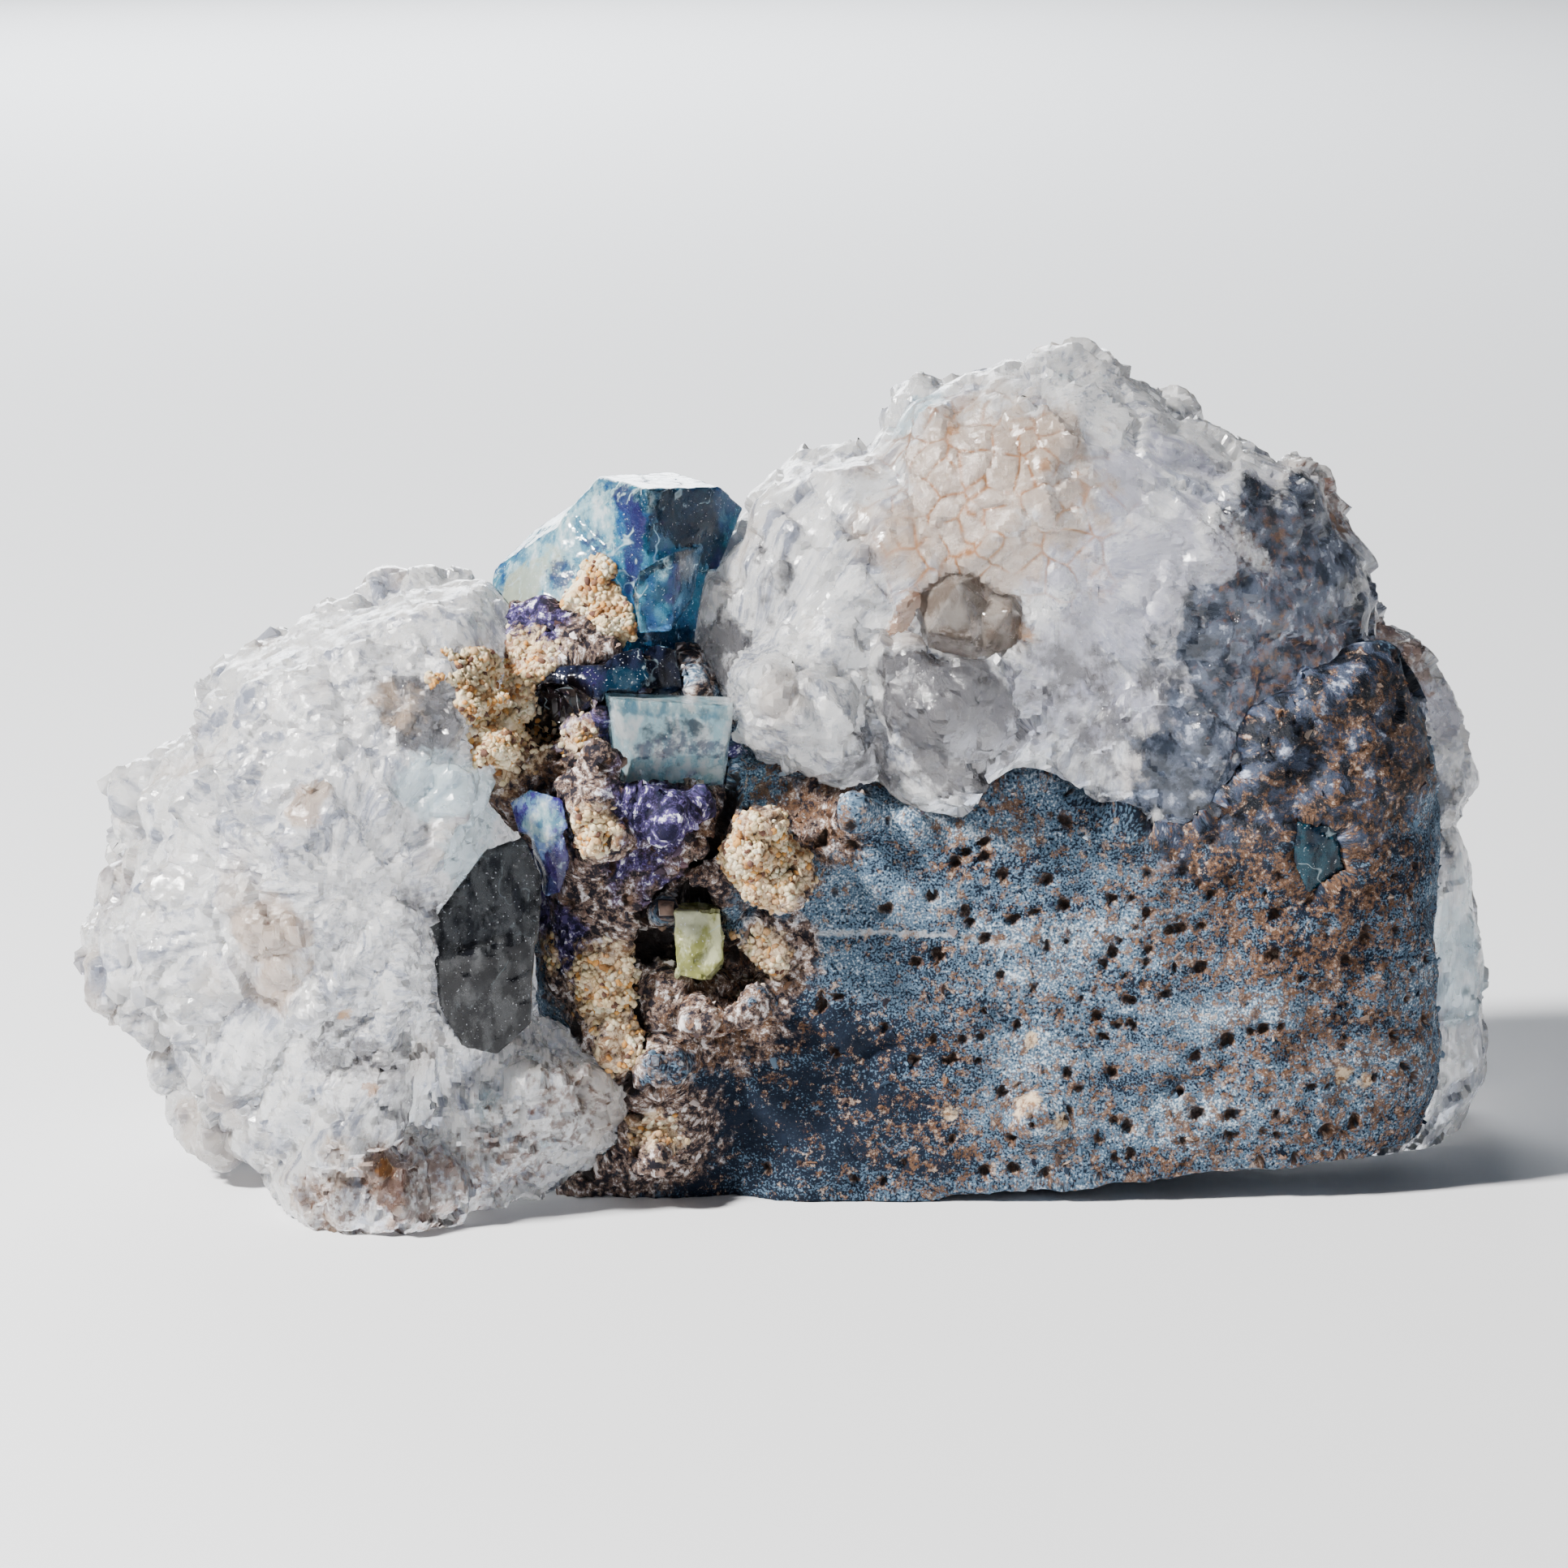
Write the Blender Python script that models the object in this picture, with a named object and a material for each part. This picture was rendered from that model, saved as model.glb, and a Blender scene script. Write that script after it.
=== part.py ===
"""Fluorite with quartz: a hand specimen 70 mm wide, standing on its flat sawn base.

Two masses of milky quartz stand on a granular rock of fluorite and quartz. Blue, green and
violet fluorite crystals fill the saddle between them, under crusts of cream limonite.

The front faces -Y, +X is to the right, +Z is up, and the origin is the middle of the base.
Outlines were read off a front photograph. A place is written as the photograph's x and y, in
pixels, and a depth in metres, and seen() turns the three into a point of the specimen.
"""

import math
import random

import bmesh
import bpy
from mathutils import Matrix, Vector
from mathutils.bvhtree import BVHTree

# Driving sizes, in metres.
SPECIMEN_WIDTH = 0.070
SEAM = 0.00034
ROCK_SEAM = 0.00062
GRAIN = 0.0005
ROCK_GRAIN = 0.00045
GOLDEN_ANGLE = math.pi * (3 - math.sqrt(5))

# The line of sight that the outlines were read along.
PHOTO_SIDE = 1932
PHOTO_LEFT = 100
PHOTO_RIGHT = 1833
EYE_ELEVATION = math.radians(12)
EYE_DISTANCE = 0.434
AIM = Vector((0, 0, 0.0192))
METRES_PER_PIXEL = SPECIMEN_WIDTH / (PHOTO_RIGHT - PHOTO_LEFT)

AWAY = Vector((0, math.cos(EYE_ELEVATION), -math.sin(EYE_ELEVATION)))
UPWARD = Vector((0, math.sin(EYE_ELEVATION), math.cos(EYE_ELEVATION)))
EYE = AIM - AWAY * EYE_DISTANCE


def sight(x, y):
    """Direction from the eye through a pixel of the photograph."""
    across = (x - PHOTO_SIDE / 2) * METRES_PER_PIXEL
    above = (PHOTO_SIDE / 2 - y) * METRES_PER_PIXEL
    return Vector((across, 0, 0)) + UPWARD * above + AWAY * EYE_DISTANCE


def seen(x, y, depth):
    """Point of the specimen that is seen at a pixel and lies at Y = depth."""
    ray = sight(x, y)
    return EYE + ray * ((depth - EYE.y) / ray.y)


# Shapes. Each function returns a bmesh of one closed shell that faces outwards.
def closed(bm):
    bmesh.ops.recalc_face_normals(bm, faces=bm.faces)
    return bm


def boulder(outline, heart, rim, front, back, fullness=2.4, rings=6, size=1.0):
    """Stone with a given outline, swelling from its rim towards the viewer and away."""
    bm = bmesh.new()
    turns = [math.radians(90) * step / rings for step in range(rings - 1, 0, -1)]
    levels = [(turn, -front) for turn in turns] + [(0, 0)]
    levels += [(turn, back) for turn in reversed(turns)]
    loops = []
    for turn, swell in levels:
        share = size * math.cos(turn) ** (2 / fullness)
        depth = rim + swell * math.sin(turn) ** (2 / fullness)
        loop = []
        for x, y in outline:
            across = heart[0] + share * (x - heart[0])
            down = heart[1] + share * (y - heart[1])
            loop.append(bm.verts.new(seen(across, down, depth)))
        loops.append(loop)
    poles = [bm.verts.new(seen(*heart, rim - front)), bm.verts.new(seen(*heart, rim + back))]
    count = len(outline)
    for pole, loop in zip(poles, (loops[0], loops[-1])):
        for i in range(count):
            bm.faces.new((pole, loop[i], loop[(i + 1) % count]))
    for near, far in zip(loops, loops[1:]):
        for i in range(count):
            after = (i + 1) % count
            bm.faces.new((near[i], near[after], far[after], far[i]))
    return closed(bm)


def knob(x, y, depth, radius, stretch=(1, 1, 1), detail=2):
    """Rounded lump centred at a seen place, stretched along X, Y and Z."""
    bm = bmesh.new()
    shape = Matrix.Translation(seen(x, y, depth)) @ Matrix.Diagonal((*stretch, 1))
    bmesh.ops.create_icosphere(bm, subdivisions=detail, radius=radius, matrix=shape)
    return closed(bm)


def block(*places):
    """Flat-faced crystal or fragment: the convex hull of some seen places."""
    bm = bmesh.new()
    for place in places:
        bm.verts.new(seen(*place))
    hull = bmesh.ops.convex_hull(bm, input=bm.verts)
    drop_spare_corners(bm, hull)
    return closed(bm)


def prism(root, tip, radius, sides=6, point=0.3, turn=0.0, waist=1.0):
    """Quartz prism from its buried root to its tip, which is a pyramid."""
    axis = tip - root
    shaft = axis.length * (1 - point)
    bm = bmesh.new()
    bmesh.ops.create_cone(
        bm, cap_ends=True, segments=sides, radius1=radius * waist, radius2=radius, depth=shaft
    )
    cap = [face for face in bm.faces if all(vert.co.z > 0 for vert in face.verts)]
    peak = bmesh.ops.poke(bm, faces=cap)["verts"][0]
    peak.co.z = axis.length - shaft / 2
    aim = Vector((0, 0, 1)).rotation_difference(axis).to_matrix().to_4x4()
    place = Matrix.Translation(root) @ aim @ Matrix.Rotation(turn, 4, "Z")
    bmesh.ops.transform(bm, matrix=place @ Matrix.Translation((0, 0, shaft / 2)), verts=bm.verts)
    return closed(bm)


def rubble(place, radius, draw, corners=10):
    """Angular fragment round a point of the specimen."""
    bm = bmesh.new()
    for _ in range(corners):
        bm.verts.new(place + random_direction(draw) * radius * draw.uniform(0.8, 1.0))
    hull = bmesh.ops.convex_hull(bm, input=bm.verts)
    drop_spare_corners(bm, hull)
    return closed(bm)


def drop_spare_corners(bm, hull):
    spare = set(hull["geom_interior"] + hull["geom_unused"])
    verts = [part for part in spare if isinstance(part, bmesh.types.BMVert)]
    bmesh.ops.delete(bm, geom=verts, context="VERTS")


def random_direction(draw):
    """A direction, even over the sphere."""
    height = draw.uniform(-1, 1)
    turn = draw.uniform(0, 2 * math.pi)
    flat = math.sqrt(1 - height * height)
    return Vector((flat * math.cos(turn), flat * math.sin(turn), height))


# Solids. Each mineral is one object in one material.
def finish(name, colour, roughness):
    material = bpy.data.materials.new(name)
    material.use_nodes = True
    shader = material.node_tree.nodes["Principled BSDF"]
    shader.inputs["Base Color"].default_value = (*colour, 1)
    shader.inputs["Roughness"].default_value = roughness
    shader.inputs["Metallic"].default_value = 0
    return material


def stone_object(name, shapes, material=None):
    """One object holding all of the shapes, still as separate shells."""
    mesh = bpy.data.meshes.new(name)
    whole = bmesh.new()
    for shape in shapes:
        shape.to_mesh(mesh)
        shape.free()
        whole.from_mesh(mesh)
    whole.to_mesh(mesh)
    whole.free()
    stone = bpy.data.objects.new(name, mesh)
    bpy.context.scene.collection.objects.link(stone)
    if material:
        mesh.materials.append(material)
    return stone


def apply_modifiers(stone):
    """Makes the object's mesh what its modifiers show."""
    graph = bpy.context.evaluated_depsgraph_get()
    shown = bpy.data.meshes.new_from_object(stone.evaluated_get(graph))
    stone.modifiers.clear()
    stone.data = shown
    return stone


def grown_together(name, shapes, triangles, material, grain=GRAIN):
    """Fuses overlapping shapes into one body of about so many triangles."""
    stone = stone_object(name, shapes, material)
    fuse(stone, grain, triangles)
    return stone


def fuse(stone, grain, triangles):
    """Makes one skin over all of an object's shells, and thins it, keeping its form."""
    remesh = stone.modifiers.new("Grow together", "REMESH")
    remesh.mode = "VOXEL"
    remesh.voxel_size = grain
    apply_modifiers(stone)
    keep_largest_body(stone)
    now = sum(len(face.vertices) - 2 for face in stone.data.polygons)
    budget = stone.modifiers.new("Budget", "DECIMATE")
    budget.ratio = min(1, triangles / now)
    apply_modifiers(stone)


def combine(stone, operation, others):
    """Joins other objects to a stone, or takes them out of it, and removes them."""
    group = bpy.data.collections.new("others")
    for other in others:
        other.hide_render = True
        other.display_type = "WIRE"
        group.objects.link(other)
    change = stone.modifiers.new("Combine", "BOOLEAN")
    change.operation = operation
    change.operand_type = "COLLECTION"
    change.collection = group
    change.solver = "MANIFOLD"
    apply_modifiers(stone)
    for other in others:
        bpy.data.objects.remove(other)
    bpy.data.collections.remove(group)
    keep_largest_body(stone)


def join(stone, shapes):
    """Joins crystals to a stone, with crisp edges where they meet."""
    combine(stone, "UNION", [stone_object("crystal", [shape]) for shape in shapes])


def hollow(stone, shapes):
    """Takes shapes out of a stone."""
    combine(stone, "DIFFERENCE", [stone_object("space", [shape]) for shape in shapes])


def keep_largest_body(stone):
    """Drops loose crumbs."""
    bm = bmesh.new()
    bm.from_mesh(stone.data)
    left = set(bm.verts)
    bodies = []
    while left:
        body = set()
        edge_of_search = [left.pop()]
        while edge_of_search:
            vert = edge_of_search.pop()
            body.add(vert)
            near = {edge.other_vert(vert) for edge in vert.link_edges} & left
            left -= near
            edge_of_search.extend(near)
        bodies.append(body)
    bodies.sort(key=len)
    for body in bodies[:-1]:
        bmesh.ops.delete(bm, geom=list(body), context="VERTS")
    bm.to_mesh(stone.data)
    bm.free()


def split_faces(stone):
    """Splits every face into triangles, which stay flat."""
    bm = bmesh.new()
    bm.from_mesh(stone.data)
    bmesh.ops.triangulate(bm, faces=bm.faces, quad_method="FIXED", ngon_method="EAR_CLIP")
    bm.to_mesh(stone.data)
    bm.free()


def grown_copy(stone, gap):
    """The same stone, larger by the gap all round, to cut its neighbours with."""
    bm = bmesh.new()
    bm.from_mesh(stone.data)
    bmesh.ops.triangulate(bm, faces=bm.faces, quad_method="FIXED", ngon_method="EAR_CLIP")
    bm.normal_update()
    shifts = [vert.normal * gap * min(vert.calc_shell_factor(), 1.6) for vert in bm.verts]
    for vert, shift in zip(bm.verts, shifts):
        vert.co += shift
    return stone_object(stone.name + " seam", [bm])


def seat(stone, neighbours, gap=SEAM):
    """Takes the neighbours, and a thin seam round each, out of the stone."""
    combine(stone, "DIFFERENCE", [grown_copy(neighbour, gap) for neighbour in neighbours])


def saw_base(stone):
    """Saws the stone off flat at the height of the base."""
    slab = bmesh.new()
    bmesh.ops.create_cube(slab, size=4 * SPECIMEN_WIDTH)
    bmesh.ops.translate(slab, vec=(0, 0, -2 * SPECIMEN_WIDTH), verts=slab.verts)
    hollow(stone, [slab])


def tree_of(stone):
    return BVHTree.FromObject(stone, bpy.context.evaluated_depsgraph_get())


def touch(tree, x, y):
    """Where the line of sight through a pixel meets a stone, with the surface's normal."""
    place, normal, _, _ = tree.ray_cast(EYE, sight(x, y).normalized())
    return place, normal


def blade(tree, centre, end, width, height):
    """Long crystal with flat sides, lying on a stone's front between two pixels."""
    bm = bmesh.new()
    for share in (0.12, 0.5, 0.9):
        x = centre[0] + share * (end[0] - centre[0])
        y = centre[1] + share * (end[1] - centre[1])
        place, out = touch(tree, x, y)
        if place:
            along = seen(*end, place.y) - seen(*centre, place.y)
            aside = along.cross(out).normalized() * width * (0.2 + 0.4 * share)
            bm.verts.new(place + out * height * (0.4 + 0.6 * share) + aside * 0.25)
            bm.verts.new(place + aside)
            bm.verts.new(place - aside)
            bm.verts.new(place + aside - out * width)
            bm.verts.new(place - aside - out * width)
    hull = bmesh.ops.convex_hull(bm, input=bm.verts)
    drop_spare_corners(bm, hull)
    return closed(bm)


def fan(tree, centre, ends, width, height, draw):
    """Blades that spread over a stone's front from one pixel to others."""
    shapes = []
    for end in ends:
        girth = width * draw.uniform(0.7, 1.3)
        shapes.append(blade(tree, centre, end, girth, height * draw.uniform(0.6, 1.4)))
    return shapes


def facets(tree, heart, count, radius, sunk, draw, shown):
    """Angular grains set close together in a stone's surface, where its normal is shown()."""
    shapes = []
    for i in range(count):
        height = 1 - 2 * (i + 0.5) / count
        turn = i * GOLDEN_ANGLE
        flat = math.sqrt(1 - height * height)
        facing = Vector((flat * math.cos(turn), flat * math.sin(turn), height))
        place, out, _, _ = tree.ray_cast(heart + facing * SPECIMEN_WIDTH, -facing)
        if place and place.z > 0 and shown(out):
            size = radius * draw.uniform(0.85, 1.15)
            shapes.append(rubble(place - out * sunk * draw.uniform(0.8, 1.1), size, draw))
    return shapes


# Quartz, left: a rounded mass of prisms that fan out from the middle of its front.
LEFT_OUTLINE = [
    (440, 1600), (345, 1540), (306, 1440), (250, 1405), (218, 1350), (205, 1290), (160, 1258),
    (122, 1225), (120, 1150), (155, 1085), (175, 1020), (188, 960), (230, 920), (266, 870),
    (288, 818), (345, 780), (407, 750), (464, 738), (492, 722), (540, 706), (600, 708), (645, 760),
    (640, 860), (625, 960), (655, 1040), (668, 1140), (665, 1250), (690, 1330), (640, 1440),
    (560, 1560),
]
LEFT_HEART = (400, 1130)
LEFT_FOOT = [
    (470, 1330), (560, 1290), (660, 1262), (740, 1290), (775, 1330), (768, 1400), (700, 1450),
    (620, 1500), (520, 1520), (440, 1500),
]
LEFT_FAN_CENTRE = (500, 1100)
LEFT_FAN_ENDS = [
    (170, 1110), (165, 1200), (205, 1290), (255, 1370), (330, 1440), (420, 1480), (205, 1000),
    (265, 910), (335, 835), (420, 785), (510, 775), (595, 900),
]
LEFT_INNER_ENDS = [
    (330, 1060), (325, 1160), (370, 1270), (460, 1330), (355, 970), (430, 900), (540, 930),
]
LEFT_TIPS = [
    (103, 1185, 1), (104, 1228, -3), (136, 1005, 2), (155, 952, 0), (184, 929, 3), (224, 909, 2),
    (256, 879, -1), (277, 811, 3), (316, 793, 0), (407, 735, 4), (492, 709, 2), (195, 1345, -2),
    (238, 1411, -4), (275, 1436, -6), (312, 1441, -8), (155, 1060, -1), (150, 1268, -5),
    (102, 1150, 4), (130, 1100, 3), (540, 697, 1), (580, 699, 3), (346, 768, 2), (442, 729, -1),
]
LEFT_TOE = [
    (322, 1455), (345, 1400), (450, 1380), (565, 1400), (600, 1455), (580, 1520), (520, 1560),
    (400, 1560), (340, 1530),
]
POCKET = [
    (530, 1130), (575, 1055), (625, 1022), (680, 1060), (690, 1180), (670, 1290), (600, 1310),
    (545, 1285), (520, 1200),
]


def quartz_left(material):
    draw = random.Random(11)
    core = boulder(LEFT_OUTLINE, LEFT_HEART, 0.0010, 0.0160, 0.0150, fullness=2.3, size=0.985)
    foot = boulder(LEFT_FOOT, (620, 1395), -0.0050, 0.0078, 0.0080, rings=4)
    toe = boulder(LEFT_TOE, (455, 1470), -0.0070, 0.0088, 0.0080, rings=4)
    stone = grown_together("quartz_left", [core, foot, toe], 420, material)
    tree = tree_of(stone)
    shapes = fan(tree, LEFT_FAN_CENTRE, LEFT_FAN_ENDS, 0.0046, 0.0012, draw)
    shapes += fan(tree, LEFT_FAN_CENTRE, LEFT_INNER_ENDS, 0.0034, 0.0016, draw)
    middle = seen(*LEFT_HEART, 0.0)
    for x, y, depth in LEFT_TIPS:
        tip = seen(x, y, depth / 1000)
        root = tip + (middle - tip) * 0.5
        girth = draw.uniform(0.0014, 0.0021)
        shapes.append(prism(root, tip, girth, point=0.14, turn=draw.uniform(0, 1)))
    shapes += facets(
        tree, middle, 50, 0.0058, 0.0045, draw, lambda out: out.y > 0.2 and out.x < 0.7
    )
    join(stone, shapes)
    mouth = [(x, y, -0.0230) for x, y in POCKET]
    floor = [(600 + 0.75 * (x - 600), 1170 + 0.8 * (y - 1170), -0.0098) for x, y in POCKET]
    hollow(stone, [block(*mouth, *floor)])
    saw_base(stone)
    return stone


# Quartz, right: a tall dome, the wall behind the rock, and the lobes on the dome's front.
DOME_OUTLINE = [
    (838, 835), (850, 765), (878, 695), (915, 627), (950, 591), (984, 568), (1003, 561),
    (1057, 558), (1092, 532), (1120, 490), (1187, 463), (1250, 454), (1278, 442), (1336, 432),
    (1376, 457), (1424, 488), (1491, 525), (1560, 555), (1612, 575), (1636, 592), (1658, 635),
    (1677, 675), (1690, 717), (1694, 752), (1700, 830), (1650, 930), (1540, 1010), (1420, 1045),
    (1300, 1020), (1190, 1000), (1085, 985), (950, 950), (872, 900),
]
DOME_HEART = (1270, 790)
WALL_OUTLINE = [
    (915, 900), (960, 760), (1100, 640), (1500, 640), (1660, 700), (1700, 765), (1748, 793),
    (1780, 830), (1794, 860), (1804, 883), (1799, 900), (1805, 930), (1817, 963), (1807, 988),
    (1791, 1003), (1791, 1030), (1807, 1045), (1813, 1085), (1818, 1150), (1830, 1165),
    (1833, 1210), (1832, 1260), (1827, 1322), (1808, 1372), (1780, 1404), (1740, 1480),
    (1600, 1580), (1300, 1620), (1000, 1600), (900, 1400), (890, 1150),
]
GREY_LOBE = [
    (1060, 790), (1110, 765), (1170, 772), (1225, 790), (1262, 830), (1282, 885), (1265, 932),
    (1215, 972), (1190, 1008), (1120, 998), (1085, 960), (1060, 880),
]
WHITE_LOBE = [
    (890, 815), (930, 792), (1010, 785), (1050, 820), (1080, 880), (1090, 960), (1050, 985),
    (985, 950), (935, 935), (910, 880),
]
RIGHT_LOBE = [
    (1290, 860), (1380, 800), (1500, 830), (1580, 900), (1560, 980), (1485, 1042), (1420, 1045),
    (1350, 1018), (1290, 985), (1262, 930),
]
FLANK_FAN_ENDS = [(905, 710), (945, 660), (995, 630), (1050, 625), (1090, 690), (1080, 770)]
GREY_FAN_ENDS = [(1105, 970), (1160, 990), (1210, 965), (1255, 910), (1255, 840)]
WHITE_FAN_ENDS = [(920, 890), (960, 930), (1020, 955), (1065, 930), (1060, 850)]
RIGHT_FAN_ENDS = [(1315, 965), (1375, 1005), (1450, 1020), (1530, 960), (1545, 880)]
TILES = [
    (1140, 530), (1150, 610), (1135, 690), (1215, 500), (1225, 580), (1215, 660), (1290, 540),
    (1300, 630), (1290, 720), (1370, 590), (1380, 680), (1370, 770), (1450, 560), (1460, 650),
    (1450, 740), (1530, 600), (1540, 700), (1530, 800), (1610, 650), (1620, 760), (1610, 860),
]


def quartz_dome(material):
    draw = random.Random(23)
    dome = boulder(DOME_OUTLINE, DOME_HEART, 0.0010, 0.0102, 0.0155, fullness=2.3, size=0.995)
    wall = boulder(WALL_OUTLINE, (1400, 1090), 0.0045, 0.0055, 0.0125, fullness=3.0, size=0.995)
    lobes = [
        boulder(GREY_LOBE, (1165, 880), -0.0040, 0.0082, 0.006, rings=4),
        boulder(WHITE_LOBE, (1000, 880), -0.0030, 0.0080, 0.006, rings=4),
        boulder(RIGHT_LOBE, (1420, 930), -0.0020, 0.0070, 0.006, rings=4),
    ]
    stone = grown_together("quartz_dome", [dome, wall, *lobes], 640, material)
    tree = tree_of(stone)
    shapes = [knob(1133, 505, 0.001, 0.0019, (1, 1.3, 1.05), detail=1)]
    shapes += fan(tree, (868, 850), FLANK_FAN_ENDS, 0.0042, 0.0010, draw)
    shapes += fan(tree, (1120, 790), GREY_FAN_ENDS, 0.0032, 0.0008, draw)
    shapes += fan(tree, (975, 800), WHITE_FAN_ENDS, 0.0030, 0.0009, draw)
    shapes += fan(tree, (1420, 830), RIGHT_FAN_ENDS, 0.0034, 0.0009, draw)
    for x, y in TILES:
        place, out = touch(tree, x, y)
        shapes.append(rubble(place - out * 0.0022, draw.uniform(0.0031, 0.0036), draw))
    shapes += [
        block(
            (1262, 452, -0.003), (1279, 436, -0.001), (1336, 423, -0.001), (1356, 438, 0.001),
            (1410, 500, 0.000), (1395, 532, -0.005), (1330, 520, -0.006), (1275, 470, -0.004),
            (1300, 470, 0.006), (1400, 520, 0.006), (1340, 560, 0.002),
        ),
        block(
            (1590, 568, 0.000), (1612, 570, 0.000), (1638, 588, 0.001), (1640, 640, 0.000),
            (1560, 640, -0.004), (1540, 590, -0.003), (1600, 620, 0.008), (1560, 600, 0.006),
        ),
    ]
    heart = seen(*DOME_HEART, 0.003)
    shapes += facets(
        tree, heart, 54, 0.0068, 0.0054, draw, lambda out: out.y > 0.25 and out.z > -0.6
    )
    join(stone, shapes)
    hollow(stone, [rubble(seen(1188, 762, -0.0098), 0.0036, draw, corners=16)])
    saw_base(stone)
    return stone


# Fluorite: the crown in the saddle, a small clear block under it, and darker crystals.
def crystal_object(name, material, *crystals):
    """One object of a few convex crystals joined together."""
    stone = stone_object(name, crystals[:1], material)
    join(stone, crystals[1:])
    return stone


def fluorite_crown(material):
    cube = block(
        (798, 602, -0.0050), (887, 600, -0.0020), (830, 581, 0.0020), (738, 586, -0.0010),
        (916, 626, -0.0005), (898, 700, -0.0015), (875, 790, -0.0025), (845, 866, -0.0042),
        (798, 780, -0.0062), (790, 880, -0.0056), (690, 640, -0.0024), (720, 860, -0.0050),
        (860, 760, 0.0060), (700, 760, 0.0060), (740, 640, 0.0060),
    )
    slope = block(
        (736, 600, -0.0012), (659, 652, 0.0004), (608, 702, 0.0006), (600, 760, -0.0020),
        (700, 640, -0.0030), (760, 700, -0.0052), (720, 780, -0.0056), (640, 790, -0.0044),
        (620, 720, 0.0060), (720, 640, 0.0060), (700, 780, 0.0040),
    )
    chip = block(
        (786, 704, -0.0072), (832, 678, -0.0064), (868, 670, -0.0034), (852, 742, -0.0052),
        (826, 778, -0.0068), (788, 782, -0.0074), (778, 730, -0.0060), (830, 730, -0.0010),
    )
    return crystal_object("fluorite_crown", material, cube, slope, chip)


def fluorite_block(material):
    crystal = block(
        (756, 862, -0.0108), (905, 871, -0.0100), (744, 853, -0.0080), (898, 858, -0.0066),
        (778, 935, -0.0106), (893, 930, -0.0098), (760, 1000, -0.0074), (890, 985, -0.0060),
    )
    return stone_object("fluorite_block", [crystal], material)


def fluorite_dark(material):
    left = block(
        (650, 850, -0.0084), (690, 820, -0.0080), (742, 818, -0.0086), (750, 850, -0.0098),
        (700, 886, -0.0100), (655, 880, -0.0092), (690, 840, -0.0030), (740, 880, -0.0040),
    )
    middle = block(
        (726, 836, -0.0090), (756, 806, -0.0082), (790, 796, -0.0074), (802, 834, -0.0090),
        (775, 862, -0.0100), (730, 862, -0.0102), (760, 830, -0.0030), (770, 880, -0.0050),
    )
    right = block(
        (798, 790, -0.0064), (834, 800, -0.0060), (842, 850, -0.0070), (800, 862, -0.0084),
        (786, 836, -0.0082), (830, 850, -0.0020), (800, 810, -0.0020),
    )
    return crystal_object("fluorite_dark", material, left, middle, right)


def fluorite_violet(material):
    upper = block(
        (628, 990, -0.0104), (652, 972, -0.0112), (692, 984, -0.0120), (700, 1020, -0.0122),
        (672, 1040, -0.0118), (640, 1030, -0.0108), (660, 1000, -0.0050), (690, 1010, -0.0050),
    )
    lower = block(
        (652, 1030, -0.0110), (692, 1016, -0.0120), (702, 1060, -0.0118), (690, 1100, -0.0114),
        (668, 1106, -0.0106), (655, 1070, -0.0104), (670, 1050, -0.0050), (692, 1080, -0.0050),
    )
    return crystal_object("fluorite_violet", material, upper, lower)


def smoky_pocket(material):
    upper = block(
        (556, 1112, -0.0126), (598, 1046, -0.0116), (645, 1030, -0.0110), (668, 1080, -0.0112),
        (664, 1160, -0.0118), (620, 1200, -0.0132), (545, 1190, -0.0136), (528, 1140, -0.0130),
        (560, 1150, -0.0060), (640, 1080, -0.0060), (620, 1190, -0.0060),
    )
    lower = block(
        (534, 1180, -0.0134), (590, 1168, -0.0138), (660, 1150, -0.0120), (654, 1262, -0.0124),
        (612, 1300, -0.0132), (568, 1290, -0.0136), (540, 1240, -0.0134), (560, 1200, -0.0060),
        (640, 1180, -0.0060), (620, 1270, -0.0060),
    )
    return crystal_object("smoky_pocket", material, upper, lower)


def yellow_crystal(material):
    crystal = block(
        (830, 1122, -0.0100), (888, 1124, -0.0098), (892, 1180, -0.0100), (870, 1208, -0.0102),
        (834, 1204, -0.0102), (836, 1114, -0.0076), (884, 1116, -0.0074), (886, 1200, -0.0050),
        (838, 1200, -0.0050),
    )
    return stone_object("yellow_crystal", [crystal], material)


def smoky_quartz(material):
    upper = prism(seen(1180, 800, -0.0040), seen(1182, 716, -0.0098), 0.0022, point=0.3, turn=0.3)
    aside = prism(seen(1190, 790, -0.0040), seen(1246, 752, -0.0100), 0.0017, point=0.3, turn=0.8)
    return crystal_object("smoky_quartz", material, upper, aside)


def fluorite_window(material):
    crystal = block(
        (1598, 1012, -0.0092), (1650, 1020, -0.0086), (1656, 1070, -0.0084), (1612, 1100, -0.0090),
        (1594, 1060, -0.0092), (1620, 1050, -0.0050), (1605, 1020, -0.0050), (1645, 1090, -0.0050),
    )
    return stone_object("fluorite_window", [crystal], material)


# Rock: the granular block that the crystals sit in, with its crack, hollows and pits.
BLOCK_OUTLINE = [
    (860, 960), (960, 930), (1100, 920), (1300, 900), (1500, 860), (1640, 810), (1712, 800),
    (1745, 850), (1762, 930), (1764, 1040), (1762, 1150), (1764, 1260), (1760, 1345), (1735, 1420),
    (1640, 1500), (1500, 1550), (1200, 1600), (900, 1610), (830, 1400), (830, 1150),
]
COLUMN_OUTLINE = [
    (520, 800), (560, 760), (610, 730), (700, 720), (810, 740), (880, 800), (935, 930),
    (1000, 1000), (1010, 1150), (960, 1300), (900, 1590), (560, 1590), (560, 1500), (640, 1440),
    (720, 1370), (700, 1280), (665, 1240), (660, 1100), (630, 1000), (560, 960), (520, 890),
]
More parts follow.
